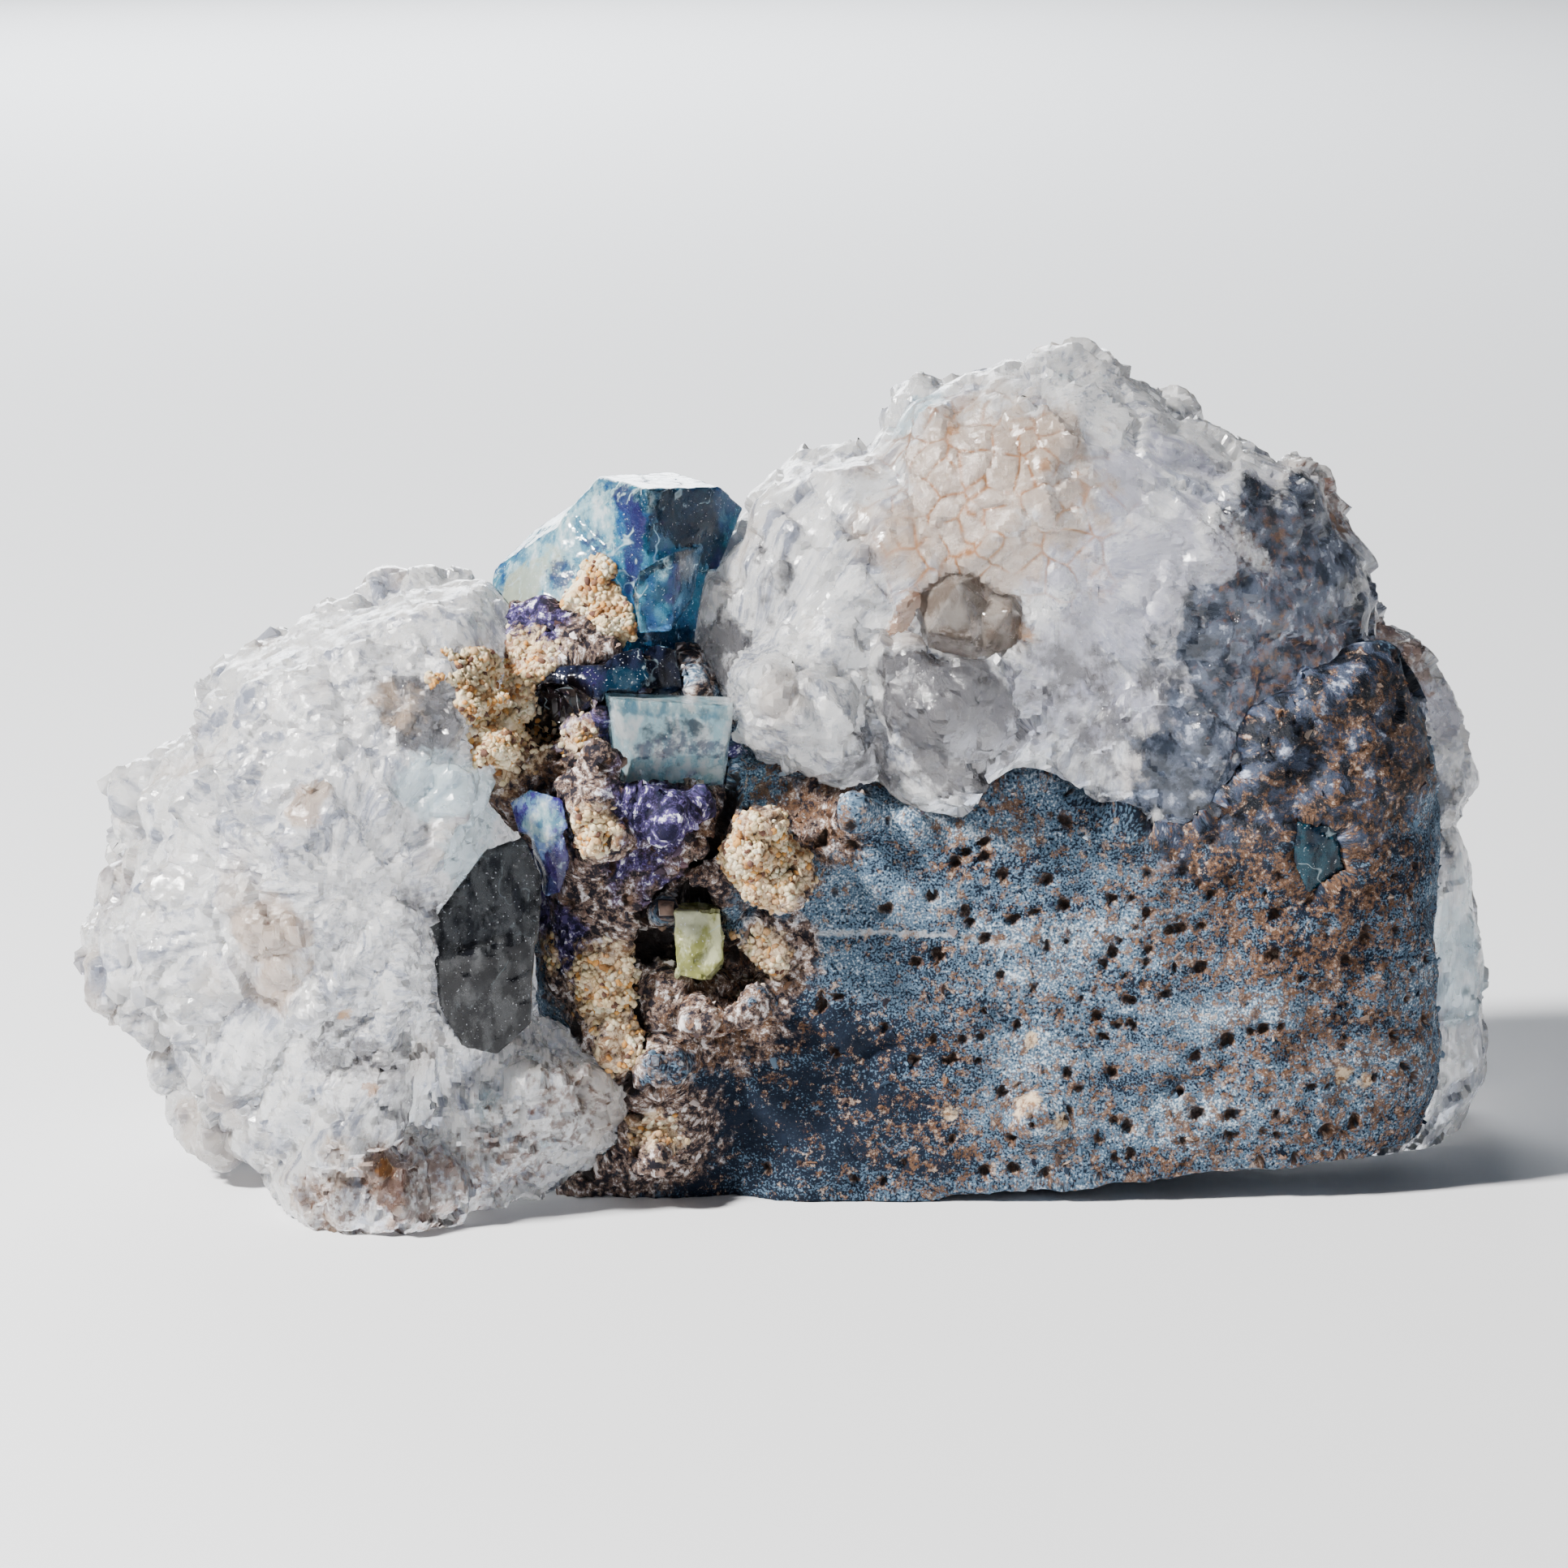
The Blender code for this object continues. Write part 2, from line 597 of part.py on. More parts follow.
ROCK_LUMPS = [
    (545, 835, -8.4, 1.7), (590, 860, -9.2, 1.9), (560, 905, -9.4, 1.6), (620, 930, -10.2, 1.7),
    (690, 960, -11.2, 1.6), (740, 940, -11.0, 1.7), (820, 1000, -11.0, 2.0), (760, 1000, -11.4, 2.2),
    (880, 990, -10.6, 1.5), (930, 1040, -10.6, 1.9), (965, 1090, -10.4, 1.9), (710, 1100, -11.8, 1.6),
    (735, 1170, -12.0, 1.7), (720, 1230, -12.0, 1.8), (960, 1180, -10.4, 1.5), (930, 1240, -10.4, 1.6),
    (860, 1260, -10.6, 1.7), (820, 1320, -10.4, 1.6), (760, 1330, -11.6, 1.6), (700, 1430, -11.6, 2.2),
    (620, 1460, -11.8, 2.2), (560, 1450, -12.6, 2.0), (480, 1460, -13.4, 1.9), (420, 1480, -14.0, 1.6),
    (1060, 1000, -9.6, 1.4), (1120, 1020, -9.2, 1.3), (1500, 1070, -8.6, 1.4), (1650, 960, -7.8, 1.6),
    (800, 1430, -10.0, 1.8), (1280, 1375, -9.2, 1.2),
]
CRACK_PATH = [
    (893, 930, 0.9), (884, 1000, 1.0), (878, 1050, 1.1), (838, 1084, 1.3), (800, 1112, 1.4),
    (782, 1160, 1.2), (784, 1215, 1.1), (796, 1270, 1.2), (786, 1320, 1.2), (776, 1370, 1.4),
    (735, 1400, 1.1), (680, 1428, 0.9),
]
CRACK_DEPTH = 0.0026
CRACK_REACH = 0.0030
HOLLOWS = [
    (668, 898, 1.5, (1.15, 1.5, 0.75)), (806, 1170, 1.5, (0.8, 1.4, 1.7)),
    (862, 1165, 2.2, (1.0, 1.2, 1.3)), (915, 1205, 1.6, (1.2, 1.2, 1.0)),
    (840, 1104, 1.3, (1.7, 1.5, 0.6)),
]
PIT_FIELD = (990, 1070, 1720, 1420)
PIT_COUNT = 26
LIFTED_CORNER = [(1150, 1482, -0.0097), (1704, 1422, -0.0080), (1790, 1396, -0.0040)]


def crack(tree):
    """Wedge-shaped cutter that follows the crack's path over the rock's front."""
    bm = bmesh.new()
    loops = []
    spread = (CRACK_REACH + CRACK_DEPTH) / CRACK_DEPTH
    for i, (x, y, width) in enumerate(CRACK_PATH):
        before = CRACK_PATH[max(i - 1, 0)]
        after = CRACK_PATH[min(i + 1, len(CRACK_PATH) - 1)]
        along = (seen(*after[:2], 0) - seen(*before[:2], 0)).normalized()
        aside = along.cross(AWAY).normalized() * width / 2000 * spread
        place = touch(tree, x, y)[0]
        mouth = place - AWAY * CRACK_REACH
        corners = (mouth + aside, place + AWAY * CRACK_DEPTH, mouth - aside)
        loops.append([bm.verts.new(corner) for corner in corners])
    for near, far in zip(loops, loops[1:]):
        for i in range(3):
            after = (i + 1) % 3
            bm.faces.new((near[i], near[after], far[after], far[i]))
    bm.faces.new(loops[0])
    bm.faces.new(reversed(loops[-1]))
    return closed(bm)


def pits(tree):
    """Small weathered pits over the block's face, kept apart from each other."""
    draw = random.Random(5)
    left, top, right, bottom = PIT_FIELD
    shapes = []
    taken = []
    while len(shapes) < PIT_COUNT:
        place = touch(tree, draw.uniform(left, right), draw.uniform(top, bottom))[0]
        radius = draw.uniform(0.0008, 0.0015)
        if any((place - other).length < radius + reach + 0.0003 for other, reach in taken):
            continue
        taken.append((place, radius))
        shapes.append(rubble(place, radius, draw, corners=8))
    return shapes


def lifted_corner():
    """Wedge under the rock's right front corner, where it rises from the ground."""
    near = [seen(*place) for place in LIFTED_CORNER]
    lowest = min(place.z for place in near) - 0.01
    bm = bmesh.new()
    for place in near:
        bm.verts.new(place)
        bm.verts.new((place.x, place.y - 0.02, place.z + 0.001))
        bm.verts.new((place.x, place.y, lowest))
        bm.verts.new((place.x, place.y - 0.02, lowest))
        bm.verts.new((place.x, 0.004, lowest))
        bm.verts.new((place.x, 0.004, 0))
    bmesh.ops.convex_hull(bm, input=bm.verts)
    bmesh.ops.delete(bm, geom=[vert for vert in bm.verts if not vert.link_faces], context="VERTS")
    return closed(bm)


def rock(material, masses):
    """The rock between the masses, and a tree of its front before its holes were made."""
    draw = random.Random(37)
    face = boulder(BLOCK_OUTLINE, (1300, 1190), 0.000, 0.0090, 0.005, fullness=5.0)
    column = boulder(COLUMN_OUTLINE, (760, 1100), 0.000, 0.0096, 0.009, fullness=2.8)
    shapes = [face, column]
    for x, y, depth, radius in ROCK_LUMPS:
        shapes.append(rubble(seen(x, y, depth / 1000), radius / 1000, draw))
    stone = grown_together("rock", shapes, 5000, material)
    tree = tree_of(stone)
    for patch in ROCK_CRUSTS:
        join(stone, crust_lumps([patch], [tree], draw))
    seat(stone, masses, ROCK_SEAM)
    hollow(stone, [*rock_holes(tree), lifted_corner()])
    fuse(stone, ROCK_GRAIN, 2300)
    saw_base(stone)
    return stone, tree


def rock_holes(tree):
    holes = [crack(tree), *pits(tree)]
    for x, y, radius, stretch in HOLLOWS:
        depth = touch(tree, x, y)[0].y
        holes.append(knob(x, y, depth, radius / 1000, stretch, detail=1))
    return holes


# Limonite: cream crusts of small lumps, two of them thick, the others thin on the rock.
LEFT_CRUST = [(565, 830, 38, 40, 14), (600, 900, 34, 50, 14)]
TOP_CRUST = [(735, 730, 30, 30, 12), (760, 765, 22, 24, 6)]
ROCK_CRUSTS = [
    (728, 1020, 20, 38, 12), (938, 1040, 28, 34, 12), (965, 1085, 18, 24, 6),
    (742, 1195, 24, 30, 9), (765, 1265, 26, 34, 10), (945, 1170, 26, 28, 9),
]


def crust_lumps(patches, trees, draw):
    """Small lumps spread over each patch, on whichever stone is nearest to the viewer."""
    shapes = []
    for x, y, width, height, count in patches:
        for i in range(count):
            turn = i * GOLDEN_ANGLE
            reach = math.sqrt((i + 0.5) / count)
            across = x + reach * width * math.cos(turn)
            down = y + reach * height * math.sin(turn)
            places = [touch(tree, across, down)[0] for tree in trees]
            place = min((place for place in places if place), key=lambda place: place.y)
            shapes.append(rubble(place, draw.uniform(0.0009, 0.0014), draw))
    return shapes


def limonite(name, patches, trees, material):
    shapes = crust_lumps(patches, trees, random.Random(name))
    return grown_together(name, shapes, 150, material, grain=0.0003)


def clear_scene():
    for thing in list(bpy.data.objects):
        bpy.data.objects.remove(thing)


def main():
    clear_scene()
    milky = finish("milky_quartz", (0.86, 0.87, 0.90), 0.35)
    cream = finish("limonite", (0.80, 0.66, 0.45), 0.85)
    masses = [quartz_dome(milky), quartz_left(milky)]
    crown = fluorite_crown(finish("fluorite_crown", (0.16, 0.27, 0.42), 0.08))
    ground, front = rock(finish("rock", (0.25, 0.30, 0.36), 0.80), masses)
    trees = [front] + [tree_of(stone) for stone in (crown, *masses)]
    seated = [
        smoky_quartz(finish("smoky_quartz", (0.45, 0.38, 0.33), 0.10)),
        smoky_pocket(finish("smoky_fluorite", (0.10, 0.12, 0.15), 0.15)),
    ]
    stones = [
        *masses,
        crown,
        fluorite_block(finish("fluorite_block", (0.55, 0.68, 0.75), 0.06)),
        fluorite_dark(finish("fluorite_dark", (0.08, 0.10, 0.22), 0.15)),
        fluorite_violet(finish("fluorite_violet", (0.22, 0.18, 0.50), 0.20)),
        yellow_crystal(finish("yellow_crystal", (0.60, 0.60, 0.38), 0.35)),
        fluorite_window(finish("fluorite_window", (0.10, 0.28, 0.36), 0.15)),
        limonite("limonite_left", LEFT_CRUST, trees, cream),
        limonite("limonite_top", TOP_CRUST, trees, cream),
    ]
    for stone in stones:
        seat(stone, seated)
        seated.append(stone)
    seat(ground, [stone for stone in seated if stone not in masses])
    for stone in (*seated, ground):
        split_faces(stone)


main()
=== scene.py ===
# %% [markdown]
# # Fluorite with quartz
# This file dresses a hand specimen: two masses of milky quartz on a granular rock, with blue,
# green and violet fluorite in the saddle between them, and cream crusts of limonite. The solids
# come from the frame. Here they get their fine crystals, grains and pits, and their finishes.
# Every piece rides on one body, because nothing in a lump of stone moves.

import math
import random

import bmesh
import bpy
import numpy as np
from mathutils import Matrix, Vector
from mathutils.bvhtree import BVHTree


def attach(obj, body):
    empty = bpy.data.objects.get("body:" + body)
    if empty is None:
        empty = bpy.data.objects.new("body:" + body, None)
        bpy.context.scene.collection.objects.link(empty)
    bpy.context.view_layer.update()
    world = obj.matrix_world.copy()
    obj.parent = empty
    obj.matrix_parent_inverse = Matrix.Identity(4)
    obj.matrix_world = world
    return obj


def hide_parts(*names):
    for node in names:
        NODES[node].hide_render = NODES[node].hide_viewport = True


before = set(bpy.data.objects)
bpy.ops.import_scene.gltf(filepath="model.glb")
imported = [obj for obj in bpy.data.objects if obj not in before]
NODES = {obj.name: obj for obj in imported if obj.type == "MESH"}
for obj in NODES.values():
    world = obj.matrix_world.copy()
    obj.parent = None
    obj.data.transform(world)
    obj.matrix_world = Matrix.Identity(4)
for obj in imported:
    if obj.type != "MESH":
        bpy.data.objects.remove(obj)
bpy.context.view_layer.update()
MM = 0.001
print("nodes:", sorted(NODES))

# %% [markdown]
# The photograph looks down at the front by 12 degrees from 434 mm away. Places on the stone are
# named by the pixel where the photograph shows them. A ray through the pixel finds the surface,
# so each place sits on the stone itself and looks right from any side.

# %% The line of sight
PHOTO_SIDE = 1932
METRES_PER_PIXEL = 0.070 / 1733
ELEVATION = math.radians(12)
DISTANCE = 0.434
AIM = Vector((0, 0, 0.0192))
AWAY = Vector((0, math.cos(ELEVATION), -math.sin(ELEVATION)))
UPWARD = Vector((0, math.sin(ELEVATION), math.cos(ELEVATION)))
EYE = AIM - AWAY * DISTANCE


def sight(x, y):
    """Direction from the eye through a pixel of the photograph."""
    across = (x - PHOTO_SIDE / 2) * METRES_PER_PIXEL
    above = (PHOTO_SIDE / 2 - y) * METRES_PER_PIXEL
    return Vector((across, 0, 0)) + UPWARD * above + AWAY * DISTANCE


def seen(x, y, depth):
    """Point that is seen at a pixel and lies at Y = depth."""
    ray = sight(x, y)
    return EYE + ray * ((depth - EYE.y) / ray.y)


def tree_of(piece):
    return BVHTree.FromObject(piece, bpy.context.evaluated_depsgraph_get())


def touch(tree, x, y):
    """Where the line of sight through a pixel meets a stone, and the normal there."""
    place, normal, _, _ = tree.ray_cast(EYE, sight(x, y).normalized())
    if place is None:
        place, normal, _, _ = tree.find_nearest(seen(x, y, -8 * MM))
    return place, normal

# %% [markdown]
# The camera stands at the eye. Its lens shows a width of 78 mm at the specimen, the photograph's
# own width at this scale. The floor is a plain pale sheet. The key light comes from the upper
# left, as in the photograph, where the tops of the quartz are bright and the lower right lies in
# cool shade. A weak fill and a dim world keep the shade open.

# %% Camera, floor and light
LENS = 200
FILM = 36


def object_of(name, bm):
    """A new object that holds the mesh being edited."""
    mesh = bpy.data.meshes.new(name)
    bm.to_mesh(mesh)
    bm.free()
    piece = bpy.data.objects.new(name, mesh)
    bpy.context.scene.collection.objects.link(piece)
    return piece


def camera():
    lens = bpy.data.cameras.new("camera")
    lens.lens = LENS
    lens.sensor_width = FILM
    holder = bpy.data.objects.new("camera", lens)
    turn = Matrix((AWAY.cross(UPWARD), UPWARD, -AWAY)).transposed()
    holder.matrix_world = Matrix.Translation(EYE) @ turn.to_4x4()
    bpy.context.scene.collection.objects.link(holder)
    bpy.context.scene.camera = holder


def lamp(name, place, size, watts, colour):
    light = bpy.data.lights.new(name, "AREA")
    light.size = size
    light.energy = watts
    light.color = colour
    holder = bpy.data.objects.new(name, light)
    holder.location = place
    holder.rotation_euler = (AIM - Vector(place)).to_track_quat("-Z", "Y").to_euler()
    bpy.context.scene.collection.objects.link(holder)


def floor():
    bm = bmesh.new()
    bmesh.ops.create_grid(bm, x_segments=1, y_segments=1, size=3)
    sheet = object_of("floor", bm)
    paper = bpy.data.materials.new("pale paper")
    paper.use_nodes = True
    shader = paper.node_tree.nodes["Principled BSDF"]
    shader.inputs["Base Color"].default_value = (0.74, 0.75, 0.77, 1)
    shader.inputs["Roughness"].default_value = 0.9
    sheet.data.materials.append(paper)


camera()
floor()
lamp("key", (-0.32, -0.16, 0.32), 0.06, 9.4, (1.0, 0.98, 0.95))
lamp("rim", (-0.08, 0.46, 0.17), 0.24, 2.4, (0.94, 0.97, 1.0))
lamp("fill", (0.22, -0.50, 0.10), 0.40, 0.3, (0.76, 0.86, 1.0))
world = bpy.data.worlds.new("studio")
world.use_nodes = True
world.node_tree.nodes["Background"].inputs["Color"].default_value = (0.80, 0.88, 1.0, 1)
world.node_tree.nodes["Background"].inputs["Strength"].default_value = 0.10
bpy.context.scene.world = world
print("camera at", [round(value, 3) for value in EYE])

# %% [markdown]
# Node trees for shapes and for finishes are long when each node is made by hand. One helper adds
# a node, sets it up, and links or sets its inputs. The short ones after it name common sums.


# %% Node helpers
def add(tree, kind, inputs=None, **settings):
    made = tree.nodes.new(kind)
    for name, value in settings.items():
        setattr(made, name, value)
    for name, value in (inputs or {}).items():
        if isinstance(value, bpy.types.NodeSocket):
            tree.links.new(value, made.inputs[name])
        else:
            made.inputs[name].default_value = value
    return made


def maths(tree, operation, first, second=0.0):
    return add(tree, "ShaderNodeMath", {0: first, 1: second}, operation=operation).outputs[0]


def times(tree, first, second):
    return maths(tree, "MULTIPLY", first, second)


def plus(tree, first, second):
    return maths(tree, "ADD", first, second)


def minus(tree, first, second):
    return maths(tree, "SUBTRACT", first, second)


def over(tree, first, second):
    return maths(tree, "DIVIDE", first, second)


def vector(tree, operation, first, second=(0, 0, 0)):
    made = add(tree, "ShaderNodeVectorMath", {0: first, 1: second}, operation=operation)
    return made.outputs["Value" if operation in ("DOT_PRODUCT", "LENGTH") else "Vector"]


def scaled(tree, first, factor):
    made = add(tree, "ShaderNodeVectorMath", {0: first, "Scale": factor}, operation="SCALE")
    return made.outputs["Vector"]


def parts_of(tree, value):
    return add(tree, "ShaderNodeSeparateXYZ", {0: value}).outputs


def noise(tree, where, size, detail=3.0, roughness=0.55):
    """Noise from 0 to 1 whose lumps are about size across, in the units of where."""
    inputs = {"Vector": where, "Scale": 1 / size, "Detail": detail, "Roughness": roughness}
    return add(tree, "ShaderNodeTexNoise", inputs).outputs["Fac"]


def warped(tree, where, size, amount):
    """The place, moved a little by noise, so that what is drawn there is less regular."""
    inputs = {"Vector": where, "Scale": 1 / size, "Detail": 2.0}
    drift = add(tree, "ShaderNodeTexNoise", inputs).outputs["Color"]
    drift = vector(tree, "SUBTRACT", drift, (0.5, 0.5, 0.5))
    return vector(tree, "ADD", where, scaled(tree, drift, amount))


def cells(tree, where, size, **settings):
    """Cells about size across. Their Color output is a random colour for each cell."""
    scale = over(tree, 1.0, size) if isinstance(size, bpy.types.NodeSocket) else 1 / size
    return add(tree, "ShaderNodeTexVoronoi", {"Vector": where, "Scale": scale}, **settings).outputs


def ramp(tree, value, low, high, start=0.0, end=1.0):
    """Rises smoothly from start to end as the value goes from low to high."""
    inputs = {"Value": value, "From Min": low, "From Max": high, "To Min": start, "To Max": end}
    return add(tree, "ShaderNodeMapRange", inputs, interpolation_type="SMOOTHSTEP").outputs[0]


def vein(tree, where, size, width):
    """1 along thin winding lines, 0 off them: where a noise is near its middle value."""
    cloud = noise(tree, where, size, detail=3.0, roughness=0.5)
    away = maths(tree, "ABSOLUTE", minus(tree, cloud, 0.5))
    return ramp(tree, away, 0.0, width, 1.0, 0.0)


def tilted_cells(tree, where, size, tilt, step):
    """Height of a surface of flat cells, each leaning and standing up at random."""
    cell = cells(tree, where, size)
    lean = scaled(tree, vector(tree, "SUBTRACT", cell["Color"], (0.5, 0.5, 0.5)), tilt)
    offset = vector(tree, "SUBTRACT", where, cell["Position"])
    height = vector(tree, "DOT_PRODUCT", lean, offset)
    level = minus(tree, parts_of(tree, cell["Color"])[0], 0.5)
    return plus(tree, height, times(tree, level, step))

# %% [markdown]
# The quartz and the rock are too rough for a few flat faces. Each is copied from its solid and
# given an even skin of small quads, which later steps push in and out. The clear crystals get
# one too, so that their faces can be chipped. A skin keeps the place where each point began, its
# seat, so that a shape and a finish can draw the same pattern.

# %% Even skins over the solids
def applied(piece):
    """Makes the piece's mesh what its modifiers show, and removes them."""
    graph = bpy.context.evaluated_depsgraph_get()
    mesh = bpy.data.meshes.new_from_object(piece.evaluated_get(graph))
    piece.modifiers.clear()
    piece.data = mesh
    return piece


def points_of(piece):
    flat = np.empty(len(piece.data.vertices) * 3)
    piece.data.vertices.foreach_get("co", flat)
    return flat.reshape(-1, 3)


def store(piece, mark, value, kind="FLOAT"):
    """Keeps one number, or one vector, for each of the piece's points."""
    attributes = piece.data.attributes
    layer = attributes.get(mark) or attributes.new(mark, kind, "POINT")
    field = "value" if kind == "FLOAT" else "vector"
    layer.data.foreach_set(field, np.asarray(value, dtype=np.float32).ravel())


def skin(node, name, grain):
    bm = bmesh.new()
    bm.from_mesh(NODES[node].data)
    bmesh.ops.remove_doubles(bm, verts=bm.verts, dist=0.001 * MM)
    piece = object_of(name, bm)
    remesh = piece.modifiers.new("Skin", "REMESH")
    remesh.mode = "VOXEL"
    remesh.voxel_size = grain
    remesh.use_smooth_shade = True
    applied(piece)
    store(piece, "seat", points_of(piece), "FLOAT_VECTOR")
    print(name, "has", len(piece.data.polygons), "faces")
    return piece


left = skin("quartz_left", "left_quartz", 0.23 * MM)
dome = skin("quartz_dome", "dome_quartz", 0.27 * MM)
rock = skin("rock", "rock_face", 0.24 * MM)
TREES = {"left": tree_of(left), "dome": tree_of(dome), "rock": tree_of(rock)}

# %% [markdown]
# Stains and zones are painted as soft spots: a pixel of the photograph, a radius in
# millimetres and a strength. Each spot is a ball round the place where the ray meets the stone,
# and the finishes break its edge up with noise.

# %% Painted marks
def along(pixels, radius, strength):
    """Spots in a row, from pixel to pixel, close enough to make a line."""
    spots = []
    for (x0, y0), (x1, y1) in zip(pixels, pixels[1:]):
        steps = math.ceil(math.hypot(x1 - x0, y1 - y0) * METRES_PER_PIXEL / (radius * MM))
        spots += [(x0 + (x1 - x0) * i / steps, y0 + (y1 - y0) * i / steps, radius, strength)
                  for i in range(steps + 1)]
    return spots


def paint(piece, tree, marks):
    """Stores each mark as a value from 0 to 1."""
    points = points_of(piece)
    for mark, spots in marks.items():
        value = np.zeros(len(points))
        for x, y, radius, strength in spots:
            place = np.array(touch(tree, x, y)[0])
            away = np.linalg.norm(points - place, axis=1) / (radius * MM)
            value = np.maximum(value, strength * np.clip(1.6 - away, 0, 1))
        store(piece, mark, value)


QUARTZ_MARKS = {
    "warm": [
        (330, 1150, 1.9, 0.9), (345, 1215, 1.5, 0.8), (372, 985, 1.2, 1.0), (420, 1490, 4, 0.5),
        (480, 870, 1.5, 0.6), (1225, 600, 5.5, 0.8), (1190, 700, 3.5, 0.8), (1290, 640, 3.5, 0.5),
    ],
    "smoke": [
        (515, 880, 2.0, 0.9), (560, 1230, 2.6, 0.6), (430, 1290, 2.5, 0.5), (470, 1380, 2.5, 0.5),
        (530, 1130, 2.0, 0.6), (440, 830, 3.0, 0.3), (300, 900, 3.0, 0.3), (480, 1010, 2.0, 0.3),
        (1170, 880, 3.6, 1.0), (1220, 940, 2.6, 0.9), (1080, 930, 2.4, 0.7), (890, 800, 1.8, 0.8),
        (1420, 900, 5.0, 0.6), (940, 720, 2.5, 0.5), (1320, 860, 3.5, 0.6),
    ],
    "rust": [
        (475, 1445, 1.4, 0.9), (520, 1470, 3, 0.6), (620, 1440, 3.5, 0.5), (700, 1370, 2.5, 0.5),
        (400, 1490, 2.2, 0.5), (1640, 620, 2.5, 0.6), (1720, 800, 3.0, 0.7), (1600, 850, 5, 0.4),
        (1480, 1040, 2.6, 0.5), (1650, 950, 4.0, 0.6), (1110, 985, 1.5, 0.5), (1560, 700, 4, 0.35),
    ],
    "ice": [
        (570, 1020, 3.0, 0.9), (545, 960, 2.0, 0.9), (640, 1380, 3.0, 0.4), (1133, 505, 1.6, 0.9),
        (1810, 1150, 5, 0.6), (1330, 480, 2.0, 0.4),
    ],
    "dusk": [
        (1540, 790, 4.2, 0.9), (1600, 890, 5.4, 1.0), (1500, 960, 4.5, 0.8), (1620, 690, 3.6, 1.0),
        (1690, 1000, 4.6, 1.0), (1560, 640, 2.2, 0.8), (1400, 1000, 2.6, 0.7), (1680, 800, 3.5, 0.9),
    ],
    "violet": [
        (1400, 780, 6.0, 0.7), (1470, 650, 6.0, 0.6), (1700, 860, 4, 0.5), (1770, 870, 1.6, 0.8),
        (1290, 860, 4.0, 0.5), (330, 1060, 4.0, 0.3), (230, 1120, 4.0, 0.3),
    ],
    "mosaic": [
        (1210, 610, 4.4, 1.0), (1290, 640, 3.4, 0.9), (1170, 690, 2.6, 1.0), (1150, 540, 2.6, 0.8),
    ],
    "ochre": [
        *along([(1106, 775), (1130, 738), (1165, 712), (1215, 715), (1245, 745), (1264, 778)], 0.5, 1.0),
        (425, 1250, 0.4, 0.8), (455, 1340, 0.4, 0.8), (1287, 575, 0.35, 0.8), (1175, 530, 0.35, 0.8),
        (1325, 583, 0.3, 0.8), (475, 1440, 0.5, 0.8),
    ],
    "calm": [
        (1133, 505, 1.8, 0.9), (1800, 1100, 6, 0.5), (1800, 1300, 6, 0.5), (400, 790, 5.0, 0.6),
        (560, 730, 3.0, 0.6), (1000, 600, 3.0, 0.4),
    ],
}
SADDLE = 780
paint(left, TREES["left"], {mark: [s for s in spots if s[0] < SADDLE] for mark, spots in QUARTZ_MARKS.items()})
paint(dome, TREES["dome"], {mark: [s for s in spots if s[0] > SADDLE] for mark, spots in QUARTZ_MARKS.items()})
print("marks on the quartz:", sorted(QUARTZ_MARKS))

# %% [markdown]
# Quartz grows in fans: blades that spread from one centre. Each fan below has the pixel of its
# centre, the pixel of its middle and its reach in millimetres. Every point of a skin belongs to
# the fan whose middle is nearest for its reach. The point keeps the direction from the centre,
# which is the same all along a blade, and the distance, so that blades can end and start again.

# %% Fans
LEFT_FANS = [
    ((400, 1110), (480, 960), 5), ((335, 1085), (335, 1190), 3), ((450, 1090), (190, 1150), 9),
    ((590, 960), (370, 850), 8), ((520, 1210), (470, 1400), 7), ((640, 1240), (690, 1370), 5),
    ((400, 1200), (240, 1330), 5),
]
DOME_FANS = [
    ((845, 900), (960, 720), 10), ((965, 790), (1000, 900), 4), ((1110, 780), (1180, 900), 5),
    ((1400, 790), (1460, 960), 6), ((1280, 420), (1420, 530), 6), ((1540, 540), (1640, 760), 6),
    ((1180, 700), (1230, 600), 6), ((1300, 700), (1400, 740), 5), ((1780, 900), (1810, 1150), 9),
]
DEEP = 1.2 * MM


def grow_fans(piece, tree, fans):
    points = points_of(piece)
    centres = []
    nearness = []
    for centre, middle, reach in fans:
        home, _ = touch(tree, *middle)
        root, _ = touch(tree, *centre)
        centres.append(np.array(root + AWAY * DEEP))
        nearness.append(np.linalg.norm(points - np.array(home), axis=1) / reach)
    chosen = np.argmin(nearness, axis=0)
    away = points - np.array(centres)[chosen]
    reach = np.linalg.norm(away, axis=1, keepdims=True)
    store(piece, "way", away / reach + chosen[:, None] * 7.0, "FLOAT_VECTOR")
    store(piece, "reach", reach)


grow_fans(left, TREES["left"], LEFT_FANS)
grow_fans(dome, TREES["dome"], DOME_FANS)
print("fans:", len(LEFT_FANS) + len(DOME_FANS))

# %% [markdown]
# One Geometry Nodes tree turns the fans into relief. It draws cells on direction and distance,
# so a cell is one blade. Each blade gets its own height and leans its own way, and a second set,
# a third as wide, breaks the blades up. Flat broken facets with no direction lie between them,
# and take over in the mosaic, where the crystals are seen end on.


# %% The relief tree
FACET = 2.6 * MM
TILE = 1.6 * MM


def shape_tree(name, sockets):
    """A Geometry Nodes tree that takes a geometry and named values, and gives a geometry."""
    tree = bpy.data.node_groups.new(name, "GeometryNodeTree")
    tree.interface.new_socket("Geometry", in_out="OUTPUT", socket_type="NodeSocketGeometry")
    tree.interface.new_socket("Geometry", in_out="INPUT", socket_type="NodeSocketGeometry")
    for label, (kind, value) in sockets.items():
        socket = tree.interface.new_socket(label, in_out="INPUT", socket_type="NodeSocket" + kind)
        if value is not None:
            socket.default_value = value
    return tree, tree.nodes.new("NodeGroupInput").outputs, tree.nodes.new("NodeGroupOutput")


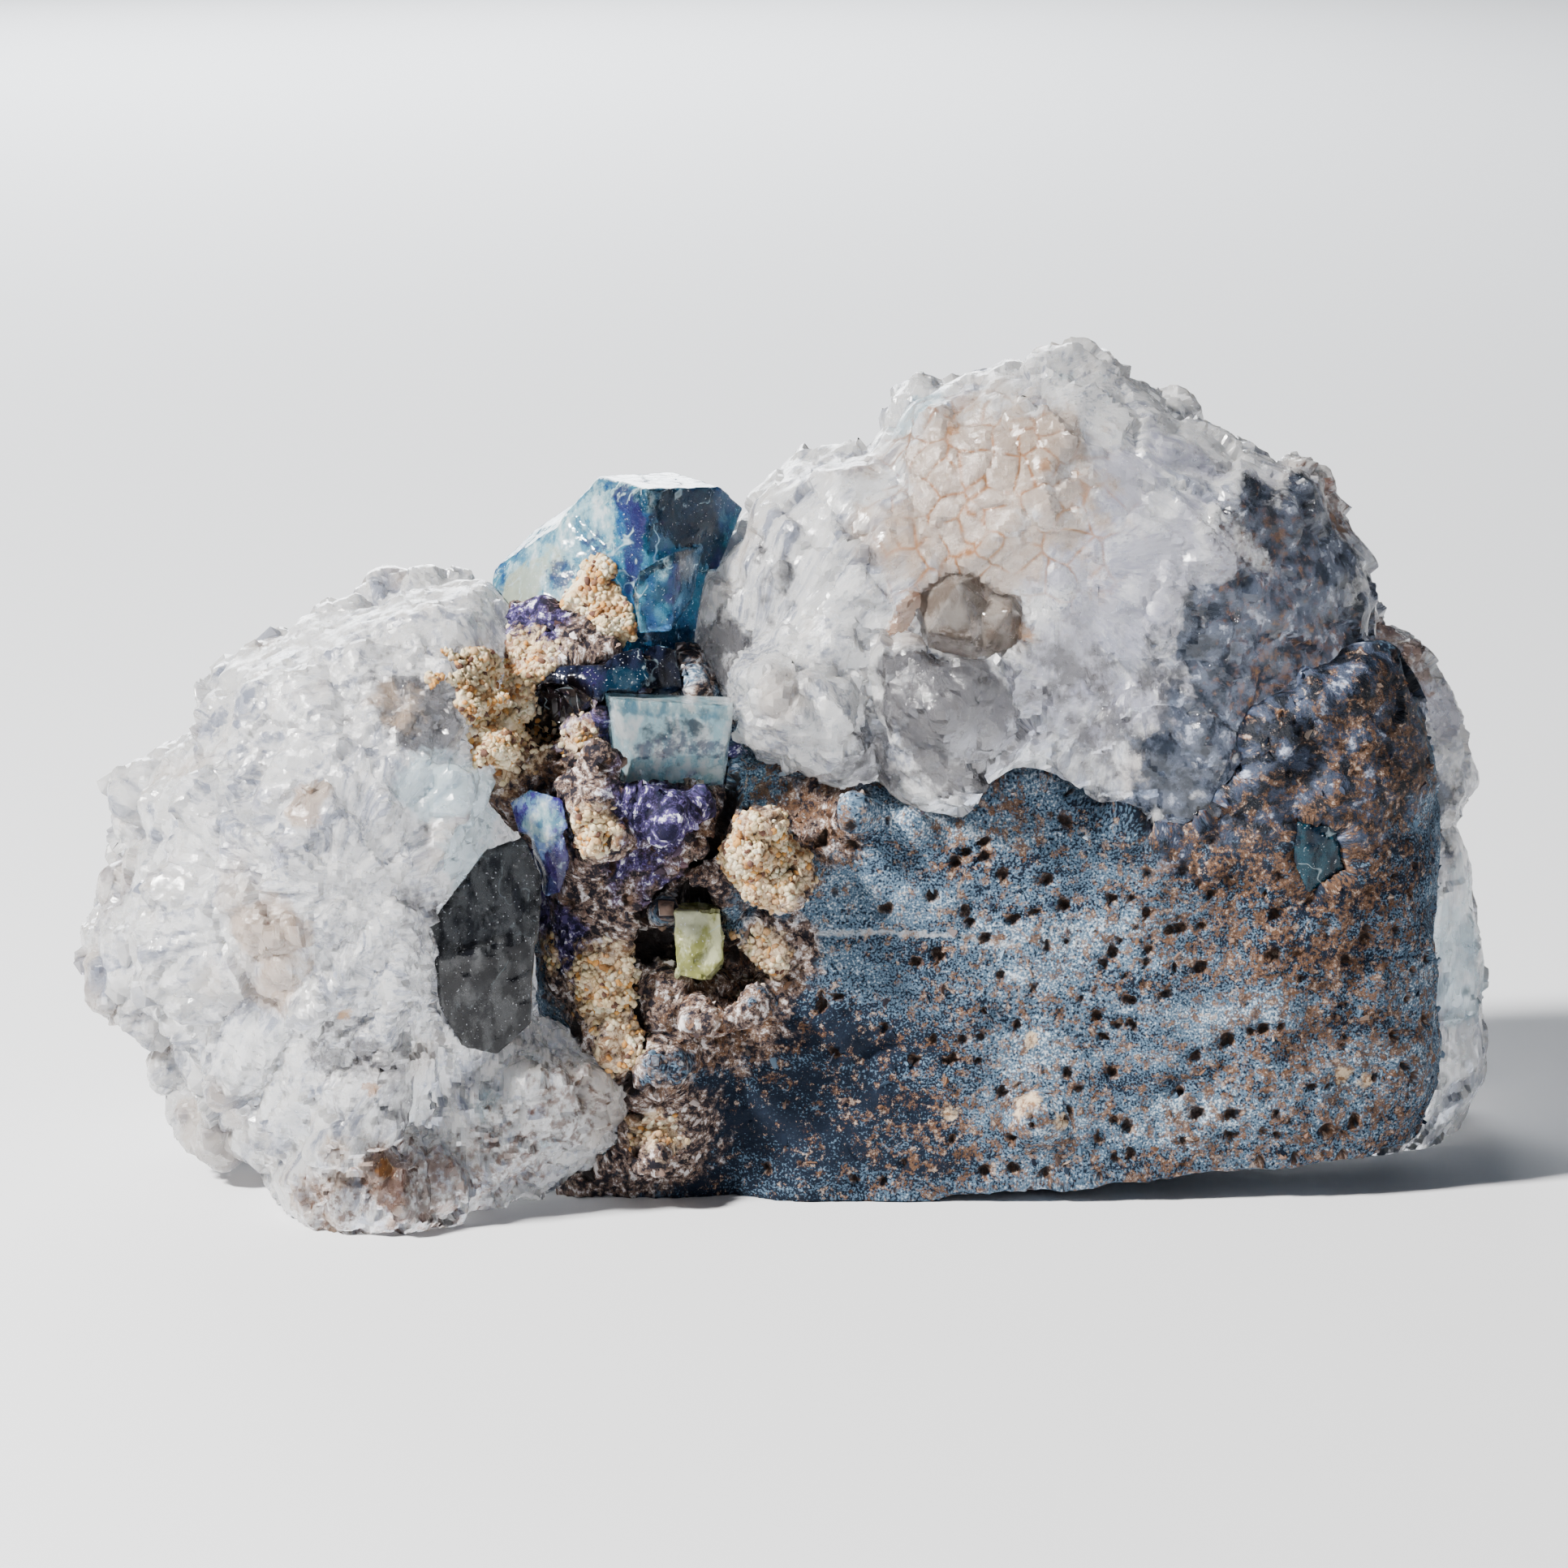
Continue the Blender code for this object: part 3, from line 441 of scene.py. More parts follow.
def run(piece, tree, values):
    """Runs a tree on a piece with its inputs set by name, and keeps the result as a mesh."""
    modifier = piece.modifiers.new(tree.name, "NODES")
    modifier.node_group = tree
    for item in tree.interface.items_tree:
        if item.in_out == "INPUT" and item.name in values:
            modifier[item.identifier] = values[item.name]
    applied(piece)
    points = points_of(piece)
    points[:, 2] = np.maximum(points[:, 2], 0)
    piece.data.vertices.foreach_set("co", points.ravel())
    piece.data.update()
    return piece


def crisp(piece, angle):
    """Keeps every edge sharper than the angle as an edge, and shades the rest smooth."""
    piece.data.set_sharp_from_angle(angle=math.radians(angle))


def named(tree, name, kind="FLOAT"):
    return add(tree, "GeometryNodeInputNamedAttribute", {"Name": name}, data_type=kind).outputs[0]


def push(tree, given, out, height):
    """Ends a tree by moving each point along its normal by the height."""
    normal = add(tree, "GeometryNodeInputNormal").outputs[0]
    moved = add(tree, "GeometryNodeSetPosition",
                {"Geometry": given["Geometry"], "Offset": scaled(tree, normal, height)})
    tree.links.new(moved.outputs[0], out.inputs[0])
    return tree


def blades(tree, way, reach, width, length):
    """Height from about -1 to 1 of roof-shaped blades of a given angle and length."""
    drawn = scaled(tree, way, over(tree, 1.0, width))
    inputs = {"Vector": drawn, "W": over(tree, reach, length), "Scale": 1.0}
    cell = add(
        tree, "ShaderNodeTexVoronoi", inputs, voronoi_dimensions="4D", distance="CHEBYCHEV"
    ).outputs
    level = minus(tree, parts_of(tree, cell["Color"])[1], 0.5)
    return plus(tree, times(tree, minus(tree, 0.4, cell["Distance"]), 2.4), times(tree, level, 0.5))


def shards(tree, seat, size):
    """Height of flat-sided points that stand close together, in the units of size."""
    bent = warped(tree, seat, 3 * size, 2 * size)
    return minus(tree, 0.4, cells(tree, bent, size, distance="CHEBYCHEV")["Distance"])


def tile_gap(tree, seat):
    """Distance to the seam between two tiles of the mosaic."""
    return cells(tree, warped(tree, seat, 2 * MM, 0.5 * MM), TILE, feature="DISTANCE_TO_EDGE")["Distance"]


def relief_tree():
    sockets = {
        "Blade width": ("Float", 0.2), "Blade length": ("Float", 4 * MM),
        "Blade depth": ("Float", 0.6 * MM), "Facet tilt": ("Float", 0.4),
        "Facet step": ("Float", 0.1 * MM), "Points": ("Float", 0.5 * MM),
        "Grow": ("Float", 0.2 * MM),
    }
    tree, given, out = shape_tree("Blades and facets", sockets)
    seat = named(tree, "seat", "FLOAT_VECTOR")
    way = named(tree, "way", "FLOAT_VECTOR")
    reach = named(tree, "reach")
    bent = plus(tree, reach, times(tree, minus(tree, noise(tree, seat, 3 * MM), 0.5), 3 * MM))
    wide = blades(tree, way, bent, given["Blade width"], given["Blade length"])
    narrow = times(tree, given["Blade width"], 0.4)
    fine = blades(tree, way, bent, narrow, times(tree, given["Blade length"], 0.6))
    relief = plus(tree, wide, times(tree, fine, 0.25))
    relief = times(tree, relief, given["Blade depth"])
    relief = times(tree, relief, ramp(tree, reach, 3 * MM, 12 * MM, 0.5, 1.0))
    facets = tilted_cells(tree, seat, FACET, given["Facet tilt"], given["Facet step"])
    points = times(tree, plus(tree, shards(tree, seat, 4 * MM), shards(tree, seat, 1.7 * MM)), given["Points"])
    swell = times(tree, minus(tree, noise(tree, seat, 6 * MM, detail=1.0), 0.5), 0.8 * MM)
    height = plus(tree, plus(tree, relief, facets), points)
    height = times(tree, height, minus(tree, 1.0, times(tree, named(tree, "mosaic"), 0.75)))
    height = times(tree, height, minus(tree, 1.0, times(tree, named(tree, "calm"), 0.8)))
    groove = times(tree, minus(tree, ramp(tree, tile_gap(tree, seat), 0.0, 0.14), 1.0), 0.16 * MM)
    height = plus(tree, height, times(tree, groove, named(tree, "mosaic")))
    height = plus(tree, height, swell)
    return push(tree, given, out, plus(tree, height, given["Grow"]))


RELIEF = relief_tree()
run(left, RELIEF, {
    "Blade width": 0.2, "Blade length": 16.0 * MM, "Blade depth": 0.65 * MM,
    "Facet tilt": 0.28, "Facet step": 0.08 * MM, "Points": 0.4 * MM, "Grow": 0.25 * MM,
})
run(dome, RELIEF, {
    "Blade width": 0.18, "Blade length": 16.0 * MM, "Blade depth": 0.3 * MM,
    "Facet tilt": 0.4, "Facet step": 0.12 * MM, "Points": 0.4 * MM, "Grow": 0.25 * MM,
})
crisp(left, 20)
crisp(dome, 20)

# %% [markdown]
# The rock's flat face is as fine as sugar, and its left part is a rough crust with holes. Pits are
# sunk into both: round cells, of which only some are open, more of them where the rock is rusty.

# %% Rock marks and relief
ROCK_MARKS = {
    "dusk": [
        (1010, 1360, 5.0, 0.9), (910, 1340, 3.2, 0.9), (870, 1420, 2.5, 0.7), (1110, 1420, 3, 0.6),
        (1150, 1250, 3.0, 0.4), (668, 898, 1.6, 1.0), (1640, 1080, 4.0, 0.7), (1540, 980, 4.0, 0.8),
        (1600, 860, 4.0, 0.9), (1690, 900, 3.0, 0.7), (780, 800, 3.0, 0.7),
    ],
    "mottle": [
        (1600, 850, 4.4, 1.0), (1540, 950, 3.8, 1.0), (1690, 920, 4.0, 1.0), (1640, 1000, 3.0, 0.9),
        (1740, 850, 2.5, 0.9), (1450, 1010, 2.0, 0.8),
    ],
    # dark: the crack and the holes, sunk by the relief and painted near-black as shade
    "dark": [
        (800, 1165, 1.1, 1.0), (858, 1104, 1.0, 1.0), (905, 1170, 0.9, 1.0), (668, 898, 1.2, 1.0),
        (800, 820, 1.2, 0.8), (650, 1290, 0.8, 0.9), (610, 930, 0.8, 0.8),
        *along([(893, 940), (905, 985), (872, 1055), (820, 1085), (782, 1120), (772, 1200),
                (790, 1290), (778, 1360), (700, 1425)], 0.42, 1.0),
    ],
    "crust": [
        (700, 900, 7.0, 1.0), (720, 1050, 6.0, 1.0), (740, 1230, 4.5, 1.0), (880, 1230, 3.4, 1.0),
        (850, 1050, 3.0, 1.0), (940, 1060, 3.0, 1.0), (800, 1400, 3.4, 1.0), (1010, 1010, 2.2, 0.8),
        (960, 1180, 2.0, 1.0), (640, 1440, 4.0, 0.9), (640, 760, 5, 1.0),
    ],
    "violet": [
        (820, 990, 2.8, 0.8), (690, 1080, 2.4, 0.9), (700, 1160, 1.6, 0.9), (740, 880, 2.5, 0.7),
        (640, 780, 2.5, 0.7), (870, 940, 1.8, 0.6), (790, 1050, 2.4, 0.6),
    ],
    "warm": [
        (1268, 1362, 0.6, 0.8), (1302, 1380, 0.5, 0.7), (1270, 1280, 0.4, 0.8), (1170, 1370, 0.5, 0.7),
        (1655, 1322, 0.5, 0.8), (1680, 1332, 0.4, 0.7),
        (945, 1060, 2.2, 0.9), (730, 1020, 1.2, 0.8), (745, 1220, 2.2, 0.9), (590, 840, 2.6, 0.9),
        (560, 900, 2.2, 0.9), (940, 1180, 1.4, 0.8), (810, 1400, 1.4, 0.7), (770, 1290, 1.3, 0.7),
        (690, 1000, 1.0, 0.7), (715, 910, 0.9, 0.8), (640, 1180, 1.0, 0.6),
    ],
    "chalk": along([(960, 1152), (1090, 1146), (1180, 1152), (1255, 1164)], 0.2, 0.7),
    "rust": [
        (1600, 1120, 6.0, 0.7), (1480, 1120, 4.5, 0.6), (980, 1010, 3.0, 0.7), (900, 1240, 3.0, 0.6),
        (760, 1340, 3.0, 0.6), (1200, 1010, 3.5, 0.5), (1650, 1300, 7.0, 0.6), (1300, 1250, 8.0, 0.4),
        (600, 930, 3.0, 0.7), (1250, 1430, 7.0, 0.5), (1700, 950, 4.0, 0.6), (840, 1020, 2.0, 0.4),
        (1500, 1380, 6.0, 0.5),
    ],
}
PIT_SIZE = 0.8 * MM
paint(rock, TREES["rock"], ROCK_MARKS)


def pit_mask(tree, seat, rust, spread):
    """1 inside a pit, 0 outside. A cell is a pit where its random number is low."""
    cell = cells(tree, warped(tree, seat, 0.5 * MM, 0.6 * MM), PIT_SIZE)
    flock = minus(tree, noise(tree, seat, 3 * MM, detail=2.0), 0.5)
    chance = plus(tree, plus(tree, times(tree, rust, 0.6), 0.12), times(tree, flock, 1.8))
    open_cell = ramp(tree, minus(tree, chance, parts_of(tree, cell["Color"])[0]), -0.01, 0.01)
    wide = plus(tree, times(tree, parts_of(tree, cell["Color"])[1], 0.34), 0.08 + spread)
    inside = ramp(tree, minus(tree, wide, cell["Distance"]), -0.08, 0.08)
    return times(tree, inside, open_cell)


def rock_tree():
    tree, given, out = shape_tree("Grain and pits", {"Grow": ("Float", 0.35 * MM)})
    seat = named(tree, "seat", "FLOAT_VECTOR")
    crust = named(tree, "crust")
    rough = plus(tree, times(tree, crust, 1.5 * MM), times(tree, named(tree, "rust"), 0.5 * MM))
    rough = plus(tree, rough, 0.4 * MM)
    lump = times(tree, minus(tree, noise(tree, seat, 1.5 * MM, detail=6.0, roughness=0.7), 0.5), rough)
    knobs = cells(tree, warped(tree, seat, 1.0 * MM, 0.6 * MM), 0.9 * MM)["Distance"]
    knobs = times(tree, times(tree, minus(tree, 0.5, knobs), 0.5 * MM), named(tree, "warm"))
    grainy = minus(tree, 1.0, named(tree, "mottle"))
    lump = times(tree, lump, plus(tree, times(tree, grainy, 0.7), 0.3))
    facets = tilted_cells(tree, seat, FACET, 0.4, 0.12 * MM)
    lump = plus(tree, lump, times(tree, facets, named(tree, "mottle")))
    pits = times(tree, pit_mask(tree, seat, named(tree, "rust"), 0.0), -0.5 * MM)
    pits = times(tree, pits, grainy)
    gaps = times(tree, ramp(tree, named(tree, "dark"), 0.6, 1.0), -1.1 * MM)
    swell = times(tree, minus(tree, noise(tree, seat, 5 * MM, detail=2.0), 0.5), 1.6 * MM)
    height = plus(tree, plus(tree, lump, knobs), plus(tree, plus(tree, pits, gaps), given["Grow"]))
    height = plus(tree, height, swell)
    return push(tree, given, out, height)


run(rock, rock_tree(), {})

# %% [markdown]
# Small crystals and grains are scattered by Geometry Nodes: points over a skin, thickly where a
# painted value is high, and a shape on each. A shape leans between the skin's normal and the line
# from a centre. It carries the skin's marks with it, so its colour follows the stone's.

# %% Crystal shapes
draw = random.Random(7)


def needle(name, sides, point):
    """Quartz prism 1 mm long with its root below zero, ending in a pyramid."""
    bm = bmesh.new()
    bmesh.ops.create_cone(
        bm, cap_ends=True, segments=sides, radius1=0.24 * MM, radius2=0.2 * MM, depth=(1 - point) * MM
    )
    top = [face for face in bm.faces if all(vert.co.z > 0 for vert in face.verts)]
    peak = bmesh.ops.poke(bm, faces=top)["verts"][0]
    peak.co.z += point * MM
    peak.co.x += 0.08 * MM
    bmesh.ops.recalc_face_normals(bm, faces=bm.faces)
    return object_of(name, bm)


def grain(name, corners):
    """Angular grain 1 mm in radius: the hull of random points on a ball."""
    bm = bmesh.new()
    for _ in range(corners):
        way = Vector((draw.gauss(0, 1), draw.gauss(0, 1), draw.gauss(0, 1))).normalized()
        bm.verts.new(way * MM)
    hull = bmesh.ops.convex_hull(bm, input=bm.verts)
    spare = set(hull["geom_interior"] + hull["geom_unused"])
    verts = [part for part in spare if isinstance(part, bmesh.types.BMVert)]
    bmesh.ops.delete(bm, geom=verts, context="VERTS")
    bmesh.ops.recalc_face_normals(bm, faces=bm.faces)
    return object_of(name, bm)


def lump(name, roughness):
    """Rounded lump 1 mm in radius, a ball with its points pushed in and out."""
    bm = bmesh.new()
    bmesh.ops.create_icosphere(bm, subdivisions=1, radius=MM)
    for vert in bm.verts:
        vert.co *= 1 + draw.uniform(-roughness, roughness)
    for face in bm.faces:
        face.smooth = True
    return object_of(name, bm)


def kit(name, shapes):
    """A collection of shapes to pick from, kept out of the scene."""
    group = bpy.data.collections.new(name)
    for shape in shapes:
        group.objects.link(shape)
        bpy.context.scene.collection.objects.unlink(shape)
    return group


NEEDLES = kit("needles", [needle("needle a", 6, 0.12), needle("needle b", 5, 0.16), needle("needle c", 6, 0.1)])
GRAINS = kit("grains", [grain("grain " + str(i), 8) for i in range(6)])
LUMPS = kit("lumps", [lump("lump " + str(i), 0.16) for i in range(4)])

# %% The scatter tree
def random_value(tree, kind, low, high, seed):
    vectors = kind == "FLOAT_VECTOR"
    inputs = {0: low, 1: high, "Seed": seed} if vectors else {2: low, 3: high, "Seed": seed}
    made = add(tree, "FunctionNodeRandomValue", inputs, data_type=kind)
    return made.outputs[0 if vectors else 1]


def scatter_tree():
    sockets = {
        "Shapes": ("Collection", None), "Material": ("Material", None), "Density": ("Float", 1.0),
        "Centre": ("Vector", (0, 0, 0)), "Along fan": ("Float", 0.0), "Wobble": ("Float", 0.2),
        "Sunk": ("Float", 0.0), "Least size": ("Vector", (1, 1, 1)),
        "Most size": ("Vector", (2, 2, 2)), "Seed": ("Int", 0),
    }
    tree, given, out = shape_tree("Scattered crystals", sockets)
    clump = noise(tree, named(tree, "seat", "FLOAT_VECTOR"), 1.2 * MM)
    thick = times(tree, given["Density"], ramp(tree, clump, 0.40, 0.55, 0.2, 1.0))
    thick = times(tree, thick, named(tree, "here"))
    spread = add(
        tree,
        "GeometryNodeDistributePointsOnFaces",
        {"Mesh": given["Geometry"], "Density": thick, "Seed": given["Seed"]},
    ).outputs
    place = add(tree, "GeometryNodeInputPosition").outputs[0]
    ray = vector(tree, "NORMALIZE", vector(tree, "SUBTRACT", place, given["Centre"]))
    straight = scaled(tree, spread["Normal"], minus(tree, 1.0, given["Along fan"]))
    lean = vector(tree, "ADD", scaled(tree, ray, given["Along fan"]), straight)
    astray = random_value(tree, "FLOAT_VECTOR", (-1, -1, -1), (1, 1, 1), 31)
    lean = vector(tree, "ADD", lean, scaled(tree, astray, given["Wobble"]))
    aimed = add(tree, "FunctionNodeAlignRotationToVector", {"Vector": lean}, axis="Z").outputs[0]
    spin = add(tree, "ShaderNodeCombineXYZ", {2: random_value(tree, "FLOAT", 0.0, 2 * math.pi, 91)})
    turned = add(
        tree, "FunctionNodeRotateRotation", {0: aimed, 1: spin.outputs[0]}, rotation_space="LOCAL"
    ).outputs[0]
    size = random_value(tree, "FLOAT_VECTOR", given["Least size"], given["Most size"], 17)
    inward = scaled(tree, spread["Normal"], times(tree, given["Sunk"], -1.0))
    sunk = add(
        tree, "GeometryNodeSetPosition", {"Geometry": spread["Points"], "Offset": inward}
    ).outputs[0]
    shapes = add(
        tree,
        "GeometryNodeCollectionInfo",
        {"Collection": given["Shapes"], "Separate Children": True, "Reset Children": True},
    ).outputs[0]
    placed = add(
        tree,
        "GeometryNodeInstanceOnPoints",
        {"Points": sunk, "Instance": shapes, "Pick Instance": True, "Rotation": turned, "Scale": size},
    ).outputs[0]
    tinted = add(
        tree,
        "GeometryNodeStoreNamedAttribute",
        {"Geometry": placed, "Name": "tint", "Value": random_value(tree, "FLOAT", 0.0, 1.0, 5)},
        data_type="FLOAT",
        domain="INSTANCE",
    ).outputs[0]
    real = add(tree, "GeometryNodeRealizeInstances", {"Geometry": tinted}).outputs[0]
    dressed = add(tree, "GeometryNodeSetMaterial", {"Geometry": real, "Material": given["Material"]})
    tree.links.new(dressed.outputs[0], out.inputs[0])
    return tree


SCATTER = scatter_tree()


def scatter(name, base, material, where, **values):
    """A new piece of shapes scattered over a base piece, as thickly as where says."""
    store(base, "here", where)
    piece = bpy.data.objects.new(name, base.data.copy())
    bpy.context.scene.collection.objects.link(piece)
    given = {key.replace("_", " ").capitalize(): value for key, value in values.items()}
    run(piece, SCATTER, {"Material": material, **given})
    print(name, "has", len(piece.data.polygons), "faces")
    return piece


def mark_values(piece, mark):
    value = np.empty(len(piece.data.vertices), dtype=np.float32)
    piece.data.attributes[mark].data.foreach_get("value", value)
    return value


def off_floor(piece, low):
    """1 above a height in millimetres, falling to 0 a millimetre below it."""
    return np.clip(points_of(piece)[:, 2] / MM - low + 1, 0, 1)

# %% [markdown]
# Finishes share a few groups. The stain group colours a stone where a painted mark, broken up by
# noise, lies on it. Groups give out colours and masks only, and the shader stays in the material.


# %% Finishes: shared groups
def shader_group(name, inputs, outputs):
    tree = bpy.data.node_groups.new(name, "ShaderNodeTree")
    for label, kind in outputs.items():
        tree.interface.new_socket(label, in_out="OUTPUT", socket_type="NodeSocket" + kind)
    for label, (kind, value) in inputs.items():
        socket = tree.interface.new_socket(label, in_out="INPUT", socket_type="NodeSocket" + kind)
        socket.default_value = value
    return tree, tree.nodes.new("NodeGroupInput").outputs, tree.nodes.new("NodeGroupOutput").inputs


def mix(tree, factor, first, second, blend="MIX"):
    made = add(tree, "ShaderNodeMix", {0: factor}, data_type="RGBA", blend_type=blend)
    for socket, value in ((made.inputs[6], first), (made.inputs[7], second)):
        if isinstance(value, bpy.types.NodeSocket):
            tree.links.new(value, socket)
        else:
            socket.default_value = (*value, 1)
    return made.outputs[2]


def mark_of(tree, mark):
    return add(tree, "ShaderNodeAttribute", attribute_name=mark).outputs["Fac"]


def vector_of(tree, mark):
    return add(tree, "ShaderNodeAttribute", attribute_name=mark).outputs["Vector"]


def stain_group():
    inputs = {
        "Colour": ("Color", (1, 1, 1, 1)), "Stain": ("Color", (0.5, 0.3, 0.1, 1)),
        "Mark": ("Float", 0.0), "Seat": ("Vector", (0, 0, 0)), "Fineness": ("Float", 1 / MM),
        "Strength": ("Float", 1.0),
    }
    tree, given, out = shader_group("Stain", inputs, {"Colour": "Color"})
    cloud = add(
        tree, "ShaderNodeTexNoise",
        {"Vector": given["Seat"], "Scale": given["Fineness"], "Detail": 5.0, "Roughness": 0.65},
    ).outputs["Fac"]
    value = plus(tree, given["Mark"], times(tree, minus(tree, cloud, 0.5), 1.8))
    mask = times(tree, ramp(tree, value, 0.35, 0.7), given["Strength"])
    mask = times(tree, mask, ramp(tree, given["Mark"], 0.0, 0.15))
    tree.links.new(mix(tree, mask, given["Colour"], given["Stain"]), out["Colour"])
    return tree


STAIN = stain_group()


def mottle_group():
    """Dark glass in patches of slate and white, where the quartz has dark fluorite under it."""
    tree, given, out = shader_group("Mottle", {"Seat": ("Vector", (0, 0, 0))}, {"Colour": "Color"})
    patch = noise(tree, given["Seat"], 1.1 * MM, detail=7.0, roughness=0.66)
    colour = mix(tree, ramp(tree, patch, 0.43, 0.55), (0.012, 0.019, 0.036), (0.11, 0.14, 0.21))
    colour = mix(tree, ramp(tree, patch, 0.57, 0.66), colour, (0.60, 0.64, 0.74))
    colour = mix(tree, 0.75, colour, colour, "MULTIPLY")
    tree.links.new(colour, out["Colour"])
    return tree


MOTTLE = mottle_group()


def stained(tree, colour, mark, stain, size, strength=1.0):
    """Adds one stain to a colour, from the mark of that name, in blotches of a size."""
    inputs = {
        "Colour": colour, "Mark": mark_of(tree, mark), "Seat": vector_of(tree, "seat"),
        "Fineness": 1 / size, "Strength": strength,
    }
    if isinstance(stain, bpy.types.NodeSocket):
        inputs["Stain"] = stain
    else:
        inputs["Stain"] = (*stain, 1)
    return group_of(tree, STAIN, inputs)["Colour"]


def group_of(tree, group, inputs):
    """Places a group and links or sets its inputs by name."""
    node = tree.nodes.new("ShaderNodeGroup")
    node.node_tree = group
    for label, value in inputs.items():
        if isinstance(value, bpy.types.NodeSocket):
            tree.links.new(value, node.inputs[label])
        else:
            node.inputs[label].default_value = value
    return node.outputs


def new_finish(name):
    material = bpy.data.materials.new(name)
    material.use_nodes = True
    tree = material.node_tree
    return material, tree, tree.nodes["Principled BSDF"], vector_of(tree, "seat")


def bump(tree, shader, height, distance, strength=1.0):
    made = add(tree, "ShaderNodeBump", {"Height": height, "Distance": distance, "Strength": strength})
    tree.links.new(made.outputs[0], shader.inputs["Normal"])


def dress(piece, finish):
    piece.data.materials.clear()
    piece.data.materials.append(finish)

# %% [markdown]
# Milky quartz is white because of fine cracks and bubbles, so light enters it and comes out
# nearby. Its clearer parts let light through, and its surface is glassy. Fine lines run along the
# blades, each broken facet has a tone of its own, and tiny flat faces glint. In the mosaic, iron
# has stained the seams between the crystals orange.


# %% Finish: milky quartz
def milky_quartz(name, clear, rough):
    material, tree, shader, seat = new_finish(name)
    way = vector_of(tree, "way")
    reach = mark_of(tree, "reach")
    line = add(
        tree, "ShaderNodeTexNoise",
        {"Vector": scaled(tree, way, 18.0), "W": times(tree, reach, 90.0), "Scale": 1.0, "Detail": 5.0,
         "Roughness": 0.68},
        noise_dimensions="4D",
    ).outputs["Fac"]
    splinter = add(
        tree, "ShaderNodeTexVoronoi",
        {"Vector": scaled(tree, way, 11.0), "W": times(tree, reach, 280.0), "Scale": 1.0},
        voronoi_dimensions="4D",
    ).outputs["Color"]
    veil = noise(tree, seat, 3.2 * MM, detail=6.0, roughness=0.6)
    tone = parts_of(tree, cells(tree, seat, FACET)["Color"])[2]
    cloudy = plus(tree, times(tree, veil, 1.0), times(tree, minus(tree, line, 0.5), 1.7))
    cloudy = plus(tree, cloudy, times(tree, minus(tree, tone, 0.5), 0.12))
    cloudy = plus(tree, cloudy, times(tree, minus(tree, parts_of(tree, splinter)[1], 0.5), 0.3))
    colour = mix(tree, ramp(tree, cloudy, 0.20, 0.55), (0.34, 0.37, 0.46), (0.98, 0.98, 0.985))
    tan = ramp(tree, noise(tree, seat, 6 * MM, detail=5.0), 0.54, 0.66, 0.0, 0.5)
    colour = mix(tree, tan, colour, (0.62, 0.48, 0.36))
    colour = stained(tree, colour, "violet", (0.38, 0.38, 0.50), 2.5 * MM, 0.75)
    colour = stained(tree, colour, "ice", (0.52, 0.74, 0.84), 2.0 * MM, 0.7)
    colour = stained(tree, colour, "smoke", (0.07, 0.066, 0.074), 1.6 * MM, 0.95)
    colour = stained(tree, colour, "warm", (0.54, 0.38, 0.26), 2.0 * MM, 0.8)
    mottle = group_of(tree, MOTTLE, {"Seat": seat})["Colour"]
    colour = stained(tree, colour, "dusk", mottle, 1.6 * MM)
    colour = stained(tree, colour, "rust", (0.12, 0.04, 0.012), 0.4 * MM, 0.9)
    seam = times(tree, ramp(tree, tile_gap(tree, seat), 0.0, 0.08, 1.0, 0.0), mark_of(tree, "mosaic"))
    seam = times(tree, seam, ramp(tree, noise(tree, seat, 1.5 * MM), 0.38, 0.52))
    colour = mix(tree, seam, colour, (0.40, 0.15, 0.04))
    colour = stained(tree, colour, "ochre", (0.36, 0.14, 0.03), 0.25 * MM, 0.8)
    tree.links.new(colour, shader.inputs["Base Color"])
    frost = noise(tree, seat, 0.5 * MM, detail=4.0)
    tree.links.new(ramp(tree, frost, 0.3, 0.7, rough - 0.08, rough + 0.2), shader.inputs["Roughness"])
    shader.inputs["IOR"].default_value = 1.544
    shader.inputs["Transmission Weight"].default_value = clear
    shader.inputs["Subsurface Weight"].default_value = 0.8
    shader.inputs["Subsurface Radius"].default_value = (1.0, 1.04, 1.12)
    shader.inputs["Subsurface Scale"].default_value = 0.6 * MM
    glints = over(tree, tilted_cells(tree, seat, 0.9 * MM, 0.8, 0.04 * MM), 0.2 * MM)
    height = plus(tree, times(tree, line, 0.9), times(tree, glints, 0.35))
    bump(tree, shader, height, 0.16 * MM, 0.7)
    return material


MILKY = milky_quartz("milky quartz", 0.68, 0.12)

dress(left, MILKY)
dress(dome, MILKY)

# %% [markdown]
# Real crystals stand on the skin too: short prisms round the left mass's edge, with most of their
# length inside it.

# %% Crystals on the quartz
LEFT_HEART = seen(430, 1130, 1 * MM)
OUTER = 9 * MM
left_tips = scatter(
    "left_tips", left, MILKY,
    off_floor(left, 5) * (points_of(left)[:, 0] < -24 * MM) * (mark_values(left, "reach") > OUTER),
    shapes=NEEDLES, density=0.05e6, centre=LEFT_HEART, along_fan=0.9, wobble=0.12, sunk=1.5 * MM,
    least_size=(2.4, 2.4, 2.4), most_size=(3.8, 3.8, 3.0), seed=3,
)
